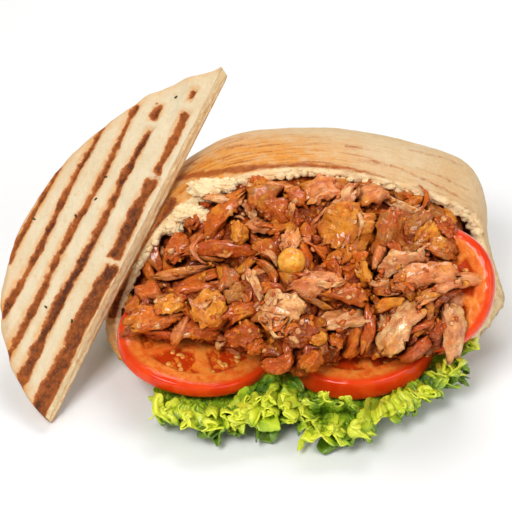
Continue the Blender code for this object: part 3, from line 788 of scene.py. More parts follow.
def makeSlice(name, place, radius, thickness, normal, seed):
    cut, faceShare = slicing, slicing["faceShare"]
    name = f"tomatoSlice{name}"
    piece = addPrimitive("uv_sphere", name, segments=cut["around"], ring_count=cut["rings"], radius=1.0)
    ball = pointsOf(piece)
    share = np.arccos(np.clip(ball[:, 2], -1, 1)) / np.pi
    angle = np.arctan2(ball[:, 1], ball[:, 0])
    rho = np.minimum(np.clip(share / faceShare, 0, 1), np.clip((1 - share) / faceShare, 0, 1))
    down = np.clip((share - faceShare) / (1 - 2 * faceShare), 0, 1)  # across the skin band
    bow = np.sqrt(np.clip(1 - (2 * down - 1) ** 2 * 0.9, 0, 1))
    reach = rho * (radius - cut["skinRound"]) + cut["skinRound"] * bow * (rho > 0.999)
    reach *= 1 + 0.012 * np.cos(3 * angle + 200 * radius) + 0.006 * np.cos(5 * angle + seed)
    gel = chamberMask(rho, angle, seed)
    dip = -cut["gelSink"] * gel + cut["skinFold"] * smooth(0.6, 1.0, rho) * smooth(1.0, 0.93, rho)
    grain = bumpiness(stacked(rho * np.cos(angle), rho * np.sin(angle), share), 9.0, seed, 3) * cut["grain"]
    level = thickness / 2 * (1 - 2 * down)
    level += np.where(share < 0.5, 1, -1) * (dip + grain * (rho < 0.999))
    points = stacked(reach * np.cos(angle), reach * np.sin(angle), level)
    mark(piece, slicePlace=points, gel=gel, skin=smooth(0.965, 1.0, rho), rho=rho)
    setPoints(piece, moved(points, faceFrame(place, normal)))
    faceOutwards(piece)
    return piece


def makeSeeds():  # one seed is modelled, and its copies lie in the chambers
    seed = addPrimitive("uv_sphere", "tomatoSeeds", segments=14, ring_count=9, radius=1.0)
    ball = pointsOf(seed)
    ball[:, 0] *= slicing["seedLength"] / 2 * (1 - 0.25 * ball[:, 0])
    for axis, share in enumerate(slicing["seedShape"], 1):
        ball[:, axis] *= slicing["seedLength"] * share
    setPoints(seed, ball)
    chambers, each = slicing["chambers"], slicing["seedsEach"]
    copies = []
    for _, place, radius, thickness, normal in tomatoes.values():
        base = faceFrame(place, normal)
        level = thickness / 2 - slicing["gelSink"] + slicing["seedLift"]
        for number in range(chambers * each):
            share = number // each + 0.15 + 0.7 * draw.random()
            angle = share / chambers * math.tau - 0.35 * math.tau / chambers
            rho = draw.uniform(0.40, 0.70)
            if chamberMask(np.array([rho]), np.array([angle]), 0.0)[0] < 0.7:
                continue
            copy = duplicate(seed)
            spot = Matrix.Translation((rho * radius * math.cos(angle), rho * radius * math.sin(angle), level))
            heading = Matrix.Rotation(angle + draw.uniform(-0.5, 0.5), 4, "Z")
            tilt = Matrix.Rotation(draw.uniform(-0.3, 0.3), 4, "X")
            setPoints(copy, moved(ball, base @ spot @ heading @ tilt))
            copies.append(copy)
    bpy.data.objects.remove(seed)
    return joinPieces(copies, "tomatoSeeds")


def tomatoMaterial():
    material, nodes, shader = newMaterial(
        "tomatoFlesh",
        Subsurface_Weight=0.25,
        Subsurface_Scale=0.004,
        Subsurface_Radius=(1.0, 0.32, 0.12),
        Coat_Weight=0.30,
        Coat_Roughness=0.10,
        Specular_IOR_Level=0.15,
    )
    place = nodes.attribute("slicePlace", "Vector")
    gel, skin, rho = nodes.attribute("gel"), nodes.attribute("skin"), nodes.attribute("rho")
    cloudy = nodes.noise(place, 260.0, 5.0, 0.6)
    rays = nodes.noise(nodes.stretched(place, (1.0, 1.0, 0.3)), 900.0, 3.0)
    pulp = nodes.noise(nodes.stretched(place, (1.0, 0.6, 1.0)), 300.0, 4.0, 0.6)
    jelly = nodes.mix(nodes.spread(pulp, 0.48, 0.62), colour(196, 58, 12), colour(236, 134, 44))
    peel = nodes.mix(nodes.patches(place, 120.0, 2.0, 0.35, 0.7), colour(220, 54, 10), colour(230, 72, 16))
    tone = nodes.painted(
        colour(228, 102, 32),
        (nodes.spread(cloudy, 0.35, 0.65), colour(240, 144, 58)),
        (nodes.spread(rays, 0.55, 0.75, 0.0, 0.5), colour(242, 154, 76)),
        (nodes.spread(rho, 0.90, 0.985), colour(222, 74, 24)),
        (gel, jelly),
        (skin, peel),
    )
    rough = nodes.between(skin, nodes.wetted(place, 220.0, 0.12, 0.34)["Roughness"], 0.16)
    height = nodes.times(nodes.added(cloudy, (rays, 0.5)), nodes.added(1.0, (skin, -1.0)))
    nodes.wire(shader, Base_Color=tone, Roughness=rough, Normal=nodes.bump(height, 0.0005, 0.6))
    return material


def seedMaterial():
    material, nodes, shader = newMaterial(
        "tomatoSeed", Subsurface_Weight=0.2, Subsurface_Scale=0.002, Coat_Weight=0.4, Coat_Roughness=0.1
    )
    place = nodes.place()
    tone = nodes.mix(nodes.patches(place, 700.0, 2.0, 0.35, 0.65), colour(222, 132, 44), colour(238, 176, 88))
    wet = nodes.wetted(place, 900.0, 0.15, 0.35)
    normal = nodes.bump(wet["Height"], 0.0001, 0.5)
    nodes.wire(shader, Base_Color=tone, Roughness=wet["Roughness"], Normal=normal)
    return material


tomatoFinish = tomatoMaterial()
for number, (node, cut) in enumerate(tomatoes.items()):
    finishPiece(makeSlice(*cut, number * 2.0), tomatoFinish, "tomato_flesh", node)
finishPiece(makeSeeds(), seedMaterial(), "tomato_flesh", *tomatoes)


# the lettuce leaf
leaf = {
    "leftX": -0.064,
    "rightX": 0.068,
    "frontY": -0.068,
    "backY": -0.030,
    "rightBack": 0.026,
    "flatZ": 0.0072,
    "aboveBread": 0.0014,
    "lowestZ": 0.0009,
    "thickness": 0.0006,
    "cuts": (660, 64),
    "folds": 11.0,
    "foldHeight": 0.0044,
    "curls": 41.0,
    "curlHeight": 0.0018,
    "rise": 0.0030,
    "teeth": 0.0043,
    "toothCount": 54.0,
    "blister": 0.0007,
    "ruffleCuts": (300, 26),
    "ruffleBlister": 0.0013,
    "ruffleLowestZ": 0.0012,
    # where the front edge bulges: share across, width of the bulge and how far
    "swells": ((0.18, 0.12, 0.013), (0.60, 0.11, 0.016)),
}
# inner folds of the same leaf: both ends of the root, both ends of the outer edge, folds and their height
ruffles = (
    (
        ((-0.058, -0.056, 0.0085), (-0.032, -0.062, 0.0085)),
        ((-0.063, -0.068, 0.0095), (-0.026, -0.078, 0.0100)),
        (3.4, 0.0040),
    ),
    (
        ((-0.020, -0.046, 0.0120), (-0.004, -0.046, 0.0120)),
        ((-0.034, -0.069, 0.0120), (0.003, -0.065, 0.0140)),
        (3.0, 0.0042),
    ),
    (
        ((-0.026, -0.054, 0.0090), (-0.004, -0.054, 0.0090)),
        ((-0.032, -0.076, 0.0085), (-0.001, -0.074, 0.0090)),
        (2.8, 0.0044),
    ),
    (
        ((0.000, -0.068, 0.0070), (0.020, -0.068, 0.0070)),
        ((-0.001, -0.0745, 0.0205), (0.019, -0.0735, 0.0175)),
        (2.6, 0.0036),
    ),
    (
        ((0.002, -0.066, 0.0070), (0.022, -0.064, 0.0070)),
        ((-0.002, -0.084, 0.0070), (0.025, -0.079, 0.0075)),
        (2.6, 0.0044),
    ),
    (
        ((0.032, -0.054, 0.0095), (0.054, -0.038, 0.0120)),
        ((0.036, -0.066, 0.0095), (0.066, -0.045, 0.0125)),
        (3.4, 0.0032),
    ),
)


def leafFront(t):
    front = leaf["frontY"] + leaf["rightBack"] * np.maximum(0.0, t - 0.72) / 0.28
    for middle, wide, swell in leaf["swells"]:
        front = front - swell * np.exp(-(((t - middle) / wide) ** 2))
    return front


def breadFloor(x):
    halfWidth = pocket["mouthHalfWidth"] - 1.1 * pocket["wall"]
    side = np.clip((x - pocket["mouthCentreX"]) / halfWidth, -1, 1)
    return pocketPoints(-np.arccos(side), np.zeros(len(side)), pocket["wall"])[:, 2]


def toothed(t, count, seed):  # the ragged outline: pointed teeth of uneven length
    return leaf["teeth"] * (1 - 3.2 * np.abs(bumpiness(stacked(t * count, seed * 3.0, 0.0), 1.0, seed, 2)))


def addSheet(name, across, out):  # with how far along and how far out each point is, from 0 to 1
    piece = addPrimitive("grid", name, x_subdivisions=across, y_subdivisions=out, size=2)
    flat = pointsOf(piece)
    return piece, (flat[:, 0] + 1) / 2, (1 - flat[:, 1]) / 2


def makeRuffle(number, rootEnds, outerEnds, folding):
    folds, tallness = folding
    piece, t, s = addSheet(f"ruffle{number}", *leaf["ruffleCuts"])
    root = mixed(*np.array(rootEnds), t[:, None])
    out = mixed(*np.array(outerEnds), t[:, None])
    way = (out - root) / np.linalg.norm(out - root, axis=1)[:, None]
    points = mixed(root, out, s[:, None]) + way * (toothed(t, folds * 5, number) * s**2)[:, None]
    line = stacked(t * folds, number * 7.0, 0.0)
    field = stacked(t * folds, s * 1.3, number * 7.0)
    phase = math.tau * folds * t + 5.5 * bumpiness(field, 0.8, number) + 1.4 * s
    curl = math.tau * folds * 3.3 * t + 6.0 * bumpiness(field, 1.3, number + 3.0)
    ends = smooth(0.0, 0.08, t) * smooth(1.0, 0.92, t)
    tall = tallness * s**0.8 * (1 + 0.6 * bumpiness(line, 0.9, number + 1.0)) * (0.4 + 0.6 * ends)
    small = 0.45 * tallness * s**2 * (1 + 0.6 * bumpiness(line, 2.0, number + 5.0))
    points[:, 2] += tall * np.sin(phase) + small * np.sin(curl) - 0.004 * (1 - ends) * s
    points[:, 0] += 0.70 * tall * np.sin(2 * phase + 0.7) + 0.9 * small * np.sin(2 * curl)
    points[:, 1] += 0.55 * tall * np.cos(phase + 0.6) + 0.8 * small * np.cos(curl * 0.5 + 1)
    raised = points[:, 2] + bumpiness(points, 300.0, 0.0, 3) * leaf["ruffleBlister"]
    points[:, 2] = np.maximum(raised, leaf["ruffleLowestZ"])
    crest = 0.45 + 0.6 * np.sin(phase) * s**0.5 + 0.35 * np.sin(curl) * s
    leafPlace = stacked(t * 0.05 + number * 0.2, s * 0.022, 0.0)
    mark(piece, leafPlace=leafPlace, towardsEdge=0.25 + 0.75 * s, crest=crest)
    setPoints(piece, points)
    return piece


def makeLeaf():
    piece, t, s = addSheet("lettuceLeaf", *leaf["cuts"])
    x = mixed(leaf["leftX"], leaf["rightX"], t)
    line = stacked(t * 9, 0.0, 0.0)
    front = leafFront(t) - toothed(t, leaf["toothCount"], 2.0) + 0.0015 * bumpiness(line, 2.0, 5.0)
    y = mixed(leaf["backY"], front, s)
    base = np.maximum(leaf["flatZ"], breadFloor(x) + leaf["aboveBread"])
    free = smooth(0.50, 1.0, s) ** 0.7
    edge = smooth(0.70, 1.0, s)
    field = stacked(t * 9, s * 2.6, 0.0)
    phase = math.tau * leaf["folds"] * t + 5.5 * bumpiness(field, 0.9, 8.0) + 0.9 * s
    curl = math.tau * leaf["curls"] * t + 6.0 * bumpiness(field, 2.4, 4.0)
    tall = leaf["foldHeight"] * free * (1 + 0.5 * bumpiness(line, 1.3, 1.0))
    small = leaf["curlHeight"] * edge * (1 + 0.7 * bumpiness(line, 4.0, 6.0))
    z = base + tall * np.sin(phase) + small * np.sin(curl) + leaf["rise"] * free
    x = x + 0.62 * tall * np.sin(2 * phase + 0.7) + 0.8 * small * np.sin(2 * curl)
    y = y + 0.55 * tall * np.cos(phase + 0.6) + 0.8 * small * np.cos(curl * 0.5 + 1)
    blister = bumpiness(stacked(x, y, 0.0), 320.0, 0.0, 2) * leaf["blister"] * smooth(0.3, 0.8, s)
    z = np.maximum(z + blister, leaf["lowestZ"])
    crest = 0.5 + 0.5 * np.sin(phase) * free + 0.25 * np.sin(curl) * edge
    mark(piece, leafPlace=stacked(t * 0.16, s * 0.05, 0.0), towardsEdge=s, crest=crest)
    setPoints(piece, stacked(x, y, z))
    inner = [makeRuffle(number, *ruffle) for number, ruffle in enumerate(ruffles)]
    piece = joinPieces([piece, *inner], "lettuceLeaf")
    applyModifier(piece, "SOLIDIFY", thickness=leaf["thickness"], offset=0.0)
    return piece


def lettuceMaterial():
    material, nodes, shader = newMaterial(
        "lettuceGreen",
        Subsurface_Weight=0.25,
        Subsurface_Scale=0.003,
        Subsurface_Radius=(0.7, 1.0, 0.15),
        Coat_Weight=0.12,
        Coat_Roughness=0.25,
    )
    place, world = nodes.attribute("leafPlace", "Vector"), nodes.place()
    edge, crest = nodes.attribute("towardsEdge"), nodes.attribute("crest")
    veins = nodes.cells(nodes.stretched(place, (1.0, 0.4, 1.0)), 200.0, "DISTANCE_TO_EDGE")
    veins = nodes.spread(veins, 0.07, 0.0)
    # paler leaf edges, with a painted highlight where they top a fold
    light = nodes.times(nodes.spread(edge, 0.62, 1.0), nodes.spread(crest, 0.30, 0.85, 0.12, 1.0))
    tone = nodes.painted(
        colour(98, 152, 28),
        (nodes.spread(nodes.noise(world, 240.0, 4.0, 0.6), 0.36, 0.62), colour(168, 200, 36)),
        # painted shade in the valleys of the folds
        (nodes.spread(crest, 0.60, 0.05, 0.0, 0.95), colour(52, 104, 20)),
        (light, colour(224, 232, 58)),
        (nodes.times(veins, 0.16), colour(196, 208, 96)),
    )
    rough = nodes.wetted(world, 300.0, 0.25, 0.5)["Roughness"]
    height = nodes.added((veins, -0.6), nodes.noise(place, 700.0, 3.0))
    nodes.wire(shader, Base_Color=tone, Roughness=rough, Normal=nodes.bump(height, 0.0005, 0.8))
    return material


finishPiece(makeLeaf(), lettuceMaterial(), "lettuce_green", "lettuce_leaf")


# the torn chicken
meat = {
    "coreVoxel": 0.0013,
    "coreSink": 0.0012,
    "coreLump": 0.0016,
    "coreShade": 0.45,
    "sunk": 0.22,
    "fine": 0.0006,
    "creviceReach": 0.007,
    "skin": 0.0004,
    "probes": ((0, 0, 0.2), (0.8, 0, 0.4), (-0.8, 0, 0.4), (0, -0.8, 0.3), (0, 0.7, 0.6)),
}
# pieces that fill gaps, in the view, and pieces on the sides of the heap, in its own axes
filling = {
    "tries": 2600,
    "x": (-0.078, 0.070),
    "up": (-0.047, 0.034),
    "gap": 0.0068,
    "sunk": 0.0008,
    "size": ((0.010, 0.019), (0.0045, 0.0085), (0.0040, 0.0062)),
    # x in the view, and the lowest height there
    "lowest": (
        (-0.0788, -0.0627, -0.0370, -0.0100, -0.0005, 0.0049, 0.0156, 0.0296, 0.0500),
        (-0.0250, -0.0325, -0.0370, -0.0350, -0.0470, -0.0430, -0.0360, -0.0330, -0.0310),
    ),
    "tints": ("roast", "roast", "amber", "amber", "gold", "blush", "taupe", "dark", "pale"),
}
siding = {
    "tries": 900,
    "ways": ((-1, 0, -0.25), (1, 0, -0.25), (0, 0.1, -1)),
    "box": ((-0.076, 0.076), (-0.060, 0.016), (0.012, 0.070)),
    "gap": 0.0078,
    "clear": 0.0048,
    "size": ((0.013, 0.022), (0.0070, 0.0110), (0.0050, 0.0068)),
}
# shreds and crumbs on top of the pieces
loose = {
    "shreds": 46,
    "crumbs": 520,
    "x": (-0.076, 0.069),
    "up": (-0.046, 0.033),
    "raised": (-0.0008, 0.0001),
    "shredSize": ((0.006, 0.012), (0.0018, 0.0034), (0.0014, 0.0024)),
    "shredTints": ("pale", "amber", "gold", "blush", "cream"),
    "crumbSide": (0.0007, 0.0024),
    "crumbShape": (1.3, 1.0, 0.8),
    "crumbTints": ("amber", "gold", "roast", "pale"),
}
tints = {
    "roast": (190, 84, 26),
    "dark": (128, 56, 16),
    "amber": (220, 116, 32),
    "gold": (240, 168, 52),
    "blush": (250, 180, 130),
    "pale": (255, 218, 166),
    "taupe": (178, 124, 64),
    "cream": (255, 226, 178),
}
# pieces that show: x and height in the view, length, width, thickness, turn, bend, tint
showing = (
    (-0.0337, 0.0015, 0.0370, 0.0064, 0.0060, -9, 0.08, "roast"),
    (-0.0487, -0.0060, 0.0310, 0.0048, 0.0048, 12, -0.06, "blush"),
    (-0.0402, -0.0098, 0.0330, 0.0053, 0.0050, 13, 0.10, "amber"),
    (-0.0369, 0.0155, 0.0270, 0.0094, 0.0066, 55, 0.08, "amber"),
    (-0.0557, 0.0036, 0.0120, 0.0088, 0.0070, 60, 0.00, "amber"),
    (-0.0198, 0.0283, 0.0110, 0.0100, 0.0062, 40, 0.05, "amber"),
    (-0.0294, 0.0280, 0.0130, 0.0080, 0.0060, 35, 0.05, "roast"),
    (-0.0240, 0.0187, 0.0120, 0.0046, 0.0046, -60, 0.20, "pale"),
    (-0.0133, 0.0197, 0.0140, 0.0120, 0.0076, -40, 0.05, "roast"),
    (-0.0069, 0.0187, 0.0078, 0.0046, 0.0044, 80, 0.10, "pale"),
    (-0.0284, 0.0095, 0.0088, 0.0070, 0.0064, 80, 0.00, "gold"),
    (-0.0176, 0.0112, 0.0195, 0.0075, 0.0066, -5, 0.10, "blush"),
    (-0.0026, 0.0240, 0.0130, 0.0088, 0.0066, -30, 0.05, "roast"),
    (0.0081, 0.0262, 0.0150, 0.0120, 0.0072, 20, 0.15, "blush"),
    (0.0167, 0.0229, 0.0165, 0.0078, 0.0060, 60, 0.10, "pale"),
    (0.0070, 0.0165, 0.0130, 0.0036, 0.0040, 45, 0.05, "blush"),
    (0.0188, 0.0101, 0.0235, 0.0200, 0.0080, -30, 0.02, "gold"),
    (0.0366, 0.0090, 0.0205, 0.0140, 0.0076, 75, 0.00, "taupe"),
    (0.0296, 0.0170, 0.0090, 0.0058, 0.0050, 15, 0.05, "amber"),
    (0.0371, 0.0235, 0.0280, 0.0040, 0.0042, -25, -0.05, "cream"),
    (0.0242, 0.0290, 0.0095, 0.0066, 0.0056, 70, 0.05, "amber"),
    (0.0520, 0.0090, 0.0130, 0.0090, 0.0070, 30, 0.05, "gold"),
    (0.0580, 0.0030, 0.0120, 0.0080, 0.0062, -20, 0.05, "taupe"),
    (0.0600, 0.0120, 0.0110, 0.0066, 0.0056, -50, 0.05, "roast"),
    (0.0490, 0.0010, 0.0120, 0.0080, 0.0062, 60, 0.05, "taupe"),
    (0.0425, -0.0039, 0.0200, 0.0110, 0.0074, 10, 0.06, "pale"),
    (0.0521, -0.0092, 0.0245, 0.0118, 0.0074, 6, 0.04, "blush"),
    (0.0620, -0.0135, 0.0290, 0.0062, 0.0056, 25, 0.08, "blush"),
    (0.0630, -0.0320, 0.0250, 0.0100, 0.0036, -80, 0.06, "pale"),
    (0.0398, -0.0300, 0.0235, 0.0165, 0.0070, 50, 0.08, "cream"),
    (0.0188, -0.0278, 0.0280, 0.0092, 0.0068, 8, 0.06, "cream"),
    (0.0296, -0.0210, 0.0160, 0.0034, 0.0038, -62, 0.28, "amber"),
    (-0.0100, -0.0242, 0.0180, 0.0155, 0.0080, -20, 0.08, "pale"),
    (-0.0219, -0.0124, 0.0165, 0.0038, 0.0038, -65, 0.05, "pale"),
    (0.0020, -0.0210, 0.0270, 0.0036, 0.0040, -18, 0.16, "taupe"),
    (-0.0005, -0.0328, 0.0165, 0.0125, 0.0070, 10, 0.00, "dark"),
    (0.0017, -0.0446, 0.0100, 0.0080, 0.0062, 50, 0.00, "amber"),
    (0.0052, -0.0352, 0.0068, 0.0058, 0.0050, 20, 0.00, "gold"),
    (0.0118, -0.0362, 0.0078, 0.0054, 0.0050, -30, 0.00, "amber"),
    (0.0050, 0.0015, 0.0210, 0.0064, 0.0060, -50, 0.26, "amber"),
    (-0.0069, 0.0058, 0.0100, 0.0074, 0.0060, 70, 0.05, "blush"),
    (0.0188, -0.0049, 0.0160, 0.0150, 0.0074, -60, 0.04, "amber"),
    (0.0246, -0.0070, 0.0120, 0.0058, 0.0050, -68, 0.02, "gold"),
    (0.0328, -0.0103, 0.0090, 0.0060, 0.0054, 20, 0.00, "amber"),
    (0.0049, -0.0135, 0.0230, 0.0105, 0.0070, 5, 0.05, "blush"),
    (0.0160, -0.0160, 0.0200, 0.0080, 0.0062, -15, 0.08, "roast"),
    (-0.0155, 0.0010, 0.0150, 0.0080, 0.0066, -40, 0.05, "roast"),
    (-0.0640, -0.0258, 0.0240, 0.0105, 0.0066, 14, 0.04, "amber"),
    (-0.0584, -0.0215, 0.0130, 0.0078, 0.0060, 20, 0.05, "gold"),
    (-0.0423, -0.0221, 0.0150, 0.0125, 0.0074, 70, 0.05, "gold"),
    (-0.0305, -0.0189, 0.0120, 0.0110, 0.0066, 30, 0.05, "taupe"),
    (-0.0338, -0.0275, 0.0280, 0.0080, 0.0060, 25, 0.20, "roast"),
    (-0.0262, -0.0340, 0.0150, 0.0105, 0.0062, 10, 0.05, "roast"),
    (-0.0316, -0.0405, 0.0088, 0.0028, 0.0030, -30, 0.05, "pale"),
    (-0.0209, -0.0390, 0.0070, 0.0055, 0.0050, 30, 0.00, "amber"),
    (-0.0466, -0.0307, 0.0190, 0.0090, 0.0062, -10, 0.05, "roast"),
    (-0.0640, -0.0325, 0.0190, 0.0048, 0.0044, -12, 0.05, "roast"),
    (-0.0680, -0.0157, 0.0100, 0.0070, 0.0056, 40, 0.05, "taupe"),
    (-0.0606, -0.0140, 0.0110, 0.0070, 0.0056, -20, 0.05, "dark"),
    (-0.0488, 0.0150, 0.0130, 0.0070, 0.0056, 60, 0.05, "dark"),
    (0.0370, -0.0140, 0.0150, 0.0070, 0.0060, -5, 0.05, "taupe"),
    (0.0405, 0.0265, 0.0110, 0.0070, 0.0050, -30, 0.05, "taupe"),
    (0.0465, 0.0225, 0.0120, 0.0076, 0.0052, 20, 0.05, "gold"),
    (0.0535, 0.0188, 0.0110, 0.0070, 0.0050, -40, 0.05, "taupe"),
    (0.0450, 0.0155, 0.0120, 0.0080, 0.0056, 60, 0.05, "pale"),
    (0.0595, 0.0170, 0.0095, 0.0060, 0.0046, -20, 0.05, "gold"),
    (0.0485, 0.0125, 0.0150, 0.0095, 0.0066, 10, 0.05, "taupe"),
)
chickpea = {"radius": 0.0056, "swell": 1.03, "place": (-0.0064, -0.0052), "beakWay": (0.3, -0.5, 0.8)}


def tintOf(name):
    return np.array(colour(*tints[name])[:3])


def makeCore():  # what shows between the pieces
    core = duplicate(frame["nodes"]["chicken_filling"])
    core.name = core.data.name = "chickenCore"
    core.parent = None
    editAll(core, bpy.ops.mesh.remove_doubles, threshold=0.00002)
    applyModifier(core, "REMESH", mode="VOXEL", voxel_size=meat["coreVoxel"])
    points, normals = pointsOf(core), normalsOf(core)
    lumps = (bumpiness(points, 230.0, 5.0, 3) + bumpiness(points, 90.0, 9.0)) * meat["coreLump"]
    opened = smooth(0.012, -0.004, points[:, 1])
    points += normals * ((lumps - meat["coreSink"]) * opened)[:, None]
    setPoints(core, points)
    # the core shows only in the gaps between pieces, so its dark tint and even shade value are painted shade
    mark(core, fibre=points + 0.3, tint=np.tile(tintOf("dark"), (len(points), 1)), shade=meat["coreShade"])
    return core


def treeOf(*pieces):
    points, faces = [], []
    for piece in pieces:
        start = len(points)
        points += [vert.co.copy() for vert in piece.data.vertices]
        faces += [[start + corner for corner in face.vertices] for face in piece.data.polygons]
    return BVHTree.FromPolygons(points, faces)


def seat(tree, x, up):  # the first point of the heap behind a place in the view
    spot = Vector((x, 0.0, viewing["target"].z)) + lookUp * up
    return tree.ray_cast(eye, (spot - eye).normalized())[:2]


def seatFrame(hit, normal, turn, lean=0.5):
    out = (normal * (1 - lean) - lookAlong * lean).normalized()
    seen = Vector((math.cos(turn), 0, 0)) + lookUp * math.sin(turn)
    return frameOn(hit, (seen - out * seen.dot(out)).normalized(), out)


def tearPiece(ball, length, width, thickness, bend, seed):  # a ball drawn out into a torn piece
    along, side, out = ball.T
    ring = np.arctan2(out, side)
    body = np.hypot(side, out) ** 0.62
    ragged = 1 + 0.34 * bumpiness(stacked(np.cos(ring) * 1.1, np.sin(ring) * 1.1, 0.0), 1.5, seed * 1.7, 2)
    run = np.sign(along) * np.abs(along) ** 0.8 * ragged
    lengthwise = stacked(run * 1.6, np.cos(ring) * 0.8, np.sin(ring) * 0.8)
    wide = 1 + 0.42 * bumpiness(lengthwise, 1.0, seed * 2.3, 2)
    thick = 1 + 0.38 * bumpiness(lengthwise, 1.2, seed * 3.1 + 4, 2)
    ridges = 1 + 0.05 * np.sin(6 * ring + 3 * bumpiness(lengthwise, 0.7, seed))
    ridges += 0.03 * np.sin(13 * ring + seed)
    across = np.cos(ring) * body * width / 2 * wide * ridges
    rise = np.sin(ring) * body * thickness / 2 * thick * ridges
    twist = run * (0.5 if width < 0.4 * length else 0.15) * math.sin(seed * 5.0)
    turn, lift = np.cos(twist), np.sin(twist)
    across, rise = across * turn - rise * lift, across * lift + rise * turn
    fold = 0.16 * width * np.sin(across / width * 5.0 + seed) * (1 - 0.5 * run**2)
    level = rise + fold + thickness * (0.5 - meat["sunk"]) - 0.07 * length * run**2
    points = stacked(run * length / 2, across + bend * length * (0.5 - run**2), level)
    fine = bumpiness(points, 520.0, seed, 3)
    lumps = bumpiness(points, 210.0, seed + 9, 2)
    outwards = points - points.mean(axis=0)
    outwards /= np.linalg.norm(outwards, axis=1)[:, None] + 1e-4
    points += outwards * (fine * meat["fine"] + lumps * 0.10 * width)[:, None]
    return points, np.clip(0.5 - 1.1 * fine, 0, 1)


def layPiece(shape, seatedAt, size, bend, tint, seed, glazed=1.0):
    piece = duplicate(shape)
    points, valley = tearPiece(pointsOf(shape), *size, bend, seed)
    setPoints(piece, moved(points, seatedAt))
    low = smooth(size[2] * 0.30, -size[2] * 0.25, points[:, 2])
    ends = smooth(0.30, 0.5, np.abs(points[:, 0]) / size[0])
    other = tintOf(draw.choice(("amber", "roast", "gold")))
    blend = np.clip((0.55 * ends + 0.25 * valley)[:, None] * glazed, 0, 0.8)
    mark(piece, fibre=points + seed * 0.037, tint=mixed(tintOf(tint), other, blend))
    # painted shade on the underside of each piece and in the small valleys of its surface
    mark(piece, shade=np.clip(0.85 * low + 0.30 * valley * valley, 0, 1))
    return piece


def clearOfBread(hit):  # false under the lip, where a piece would poke through the roof
    return hit.y < 0.012 and hit.z > 0.016


def ballShape(segments, rings):  # its poles are at the two ends of a piece
    shape = addPrimitive("uv_sphere", "tornShape", segments=segments, ring_count=rings, radius=1.0)
    setPoints(shape, pointsOf(shape)[:, [2, 1, 0]] * [1, -1, 1])
    return shape


def layShowing(shape, onTomatoes, placed, seated):
    laid = []
    for number, (x, up, length, width, thickness, turn, bend, tint) in enumerate(showing):
        hit, normal = seat(onTomatoes, x, up)
        placed.append((x, up))
        seated.append(hit)
        spot = seatFrame(hit, normal, math.radians(turn), 0.6)
        laid.append(layPiece(shape, spot, (length, width, thickness), bend, tint, number * 0.71 + 1, 0.8))
    return laid


def fillGaps(shape, heap, onTomatoes, placed, seated):
    laid = []
    for number in range(1, filling["tries"] + 1):
        x, up = draw.uniform(*filling["x"]), draw.uniform(*filling["up"])
        if min(math.hypot(x - px, up - pu) for px, pu in placed) < filling["gap"]:
            continue
        hit, normal = seat(heap, x, up)
        if hit is None or seat(onTomatoes, x, up)[0] != hit or not clearOfBread(hit):
            continue
        if up < np.interp(x, *filling["lowest"]):
            continue
        placed.append((x, up))
        seated.append(hit)
        spot = seatFrame(hit + lookAlong * filling["sunk"], normal, draw.uniform(-1.5, 1.5))
        size, bend, tint = randomSize(filling["size"]), draw.uniform(-0.2, 0.2), draw.choice(filling["tints"])
        laid.append(layPiece(shape, spot, size, bend, tint, number * 0.13))
    return laid


def coverSides(shape, heap, slices, seated):  # clear of the bread and the tomatoes
    others = treeOf(bpy.data.objects["pitaPocketBread"], *slices)
    laid = []
    for number in range(siding["tries"]):
        way = Vector(draw.choice(siding["ways"])).normalized()
        target = Vector(randomSize(siding["box"]))
        hit, normal, _, _ = heap.ray_cast(target - way * 0.2, way)
        if hit is None or not clearOfBread(hit) or others.find_nearest(hit)[3] < siding["clear"]:
            continue
        if min((hit - other).length for other in seated) < siding["gap"]:
            continue
        seated.append(hit)
        spot = frameOn(hit, normal.orthogonal().normalized(), normal)
        spot = spot @ Matrix.Rotation(draw.uniform(0, 6.28), 4, "Z")
        size, bend, tint = randomSize(siding["size"]), draw.uniform(-0.2, 0.2), draw.choice(filling["tints"])
        laid.append(layPiece(shape, spot, size, bend, tint, number * 0.17))
    return laid


def scatterLoose(plain, tiny, heap, onPieces):
    shreds, crumbs = [], []
    for number in range(loose["shreds"] + loose["crumbs"]):
        x, up = draw.uniform(*loose["x"]), draw.uniform(*loose["up"])
        hit, normal = seat(onPieces, x, up)
        if hit is None or seat(heap, x, up)[0] is None or not clearOfBread(hit):
            continue
        raised = hit + normal * draw.uniform(*loose["raised"])
        spot = seatFrame(raised, normal, draw.uniform(-3.1, 3.1), draw.uniform(0.2, 0.9))
        if number < loose["shreds"]:
            size, bend = randomSize(loose["shredSize"]), draw.uniform(-0.4, 0.4)
            shreds.append(layPiece(plain, spot, size, bend, draw.choice(loose["shredTints"]), number * 0.37))
        else:
            side = draw.uniform(*loose["crumbSide"])
            size = [side * share for share in loose["crumbShape"]]
            crumbs.append(layPiece(tiny, spot, size, 0.0, draw.choice(loose["crumbTints"]), number * 0.29))
    return shreds, crumbs


def makeMeat(core, slices):
    heap, onTomatoes = treeOf(core), treeOf(core, *slices)
    fine, plain, tiny = ballShape(40, 34), ballShape(18, 14), ballShape(9, 7)
    seated, placed = [], [chickpea["place"]]
    large = layShowing(fine, onTomatoes, placed, seated)
    onPieces = treeOf(core, *large)
    small = fillGaps(plain, heap, onTomatoes, placed, seated) + coverSides(plain, heap, slices, seated)
    shreds, crumbs = scatterLoose(plain, tiny, heap, onPieces)
    small += shreds
    for shape in (fine, plain, tiny):
        bpy.data.objects.remove(shape)
    print("large", len(large), "small", len(small), "crumbs", len(crumbs))
    kinds = {"Pieces": large, "Shreds": small, "Crumbs": crumbs}
    return [joinPieces(pieces, f"chicken{kind}") for kind, pieces in kinds.items()]


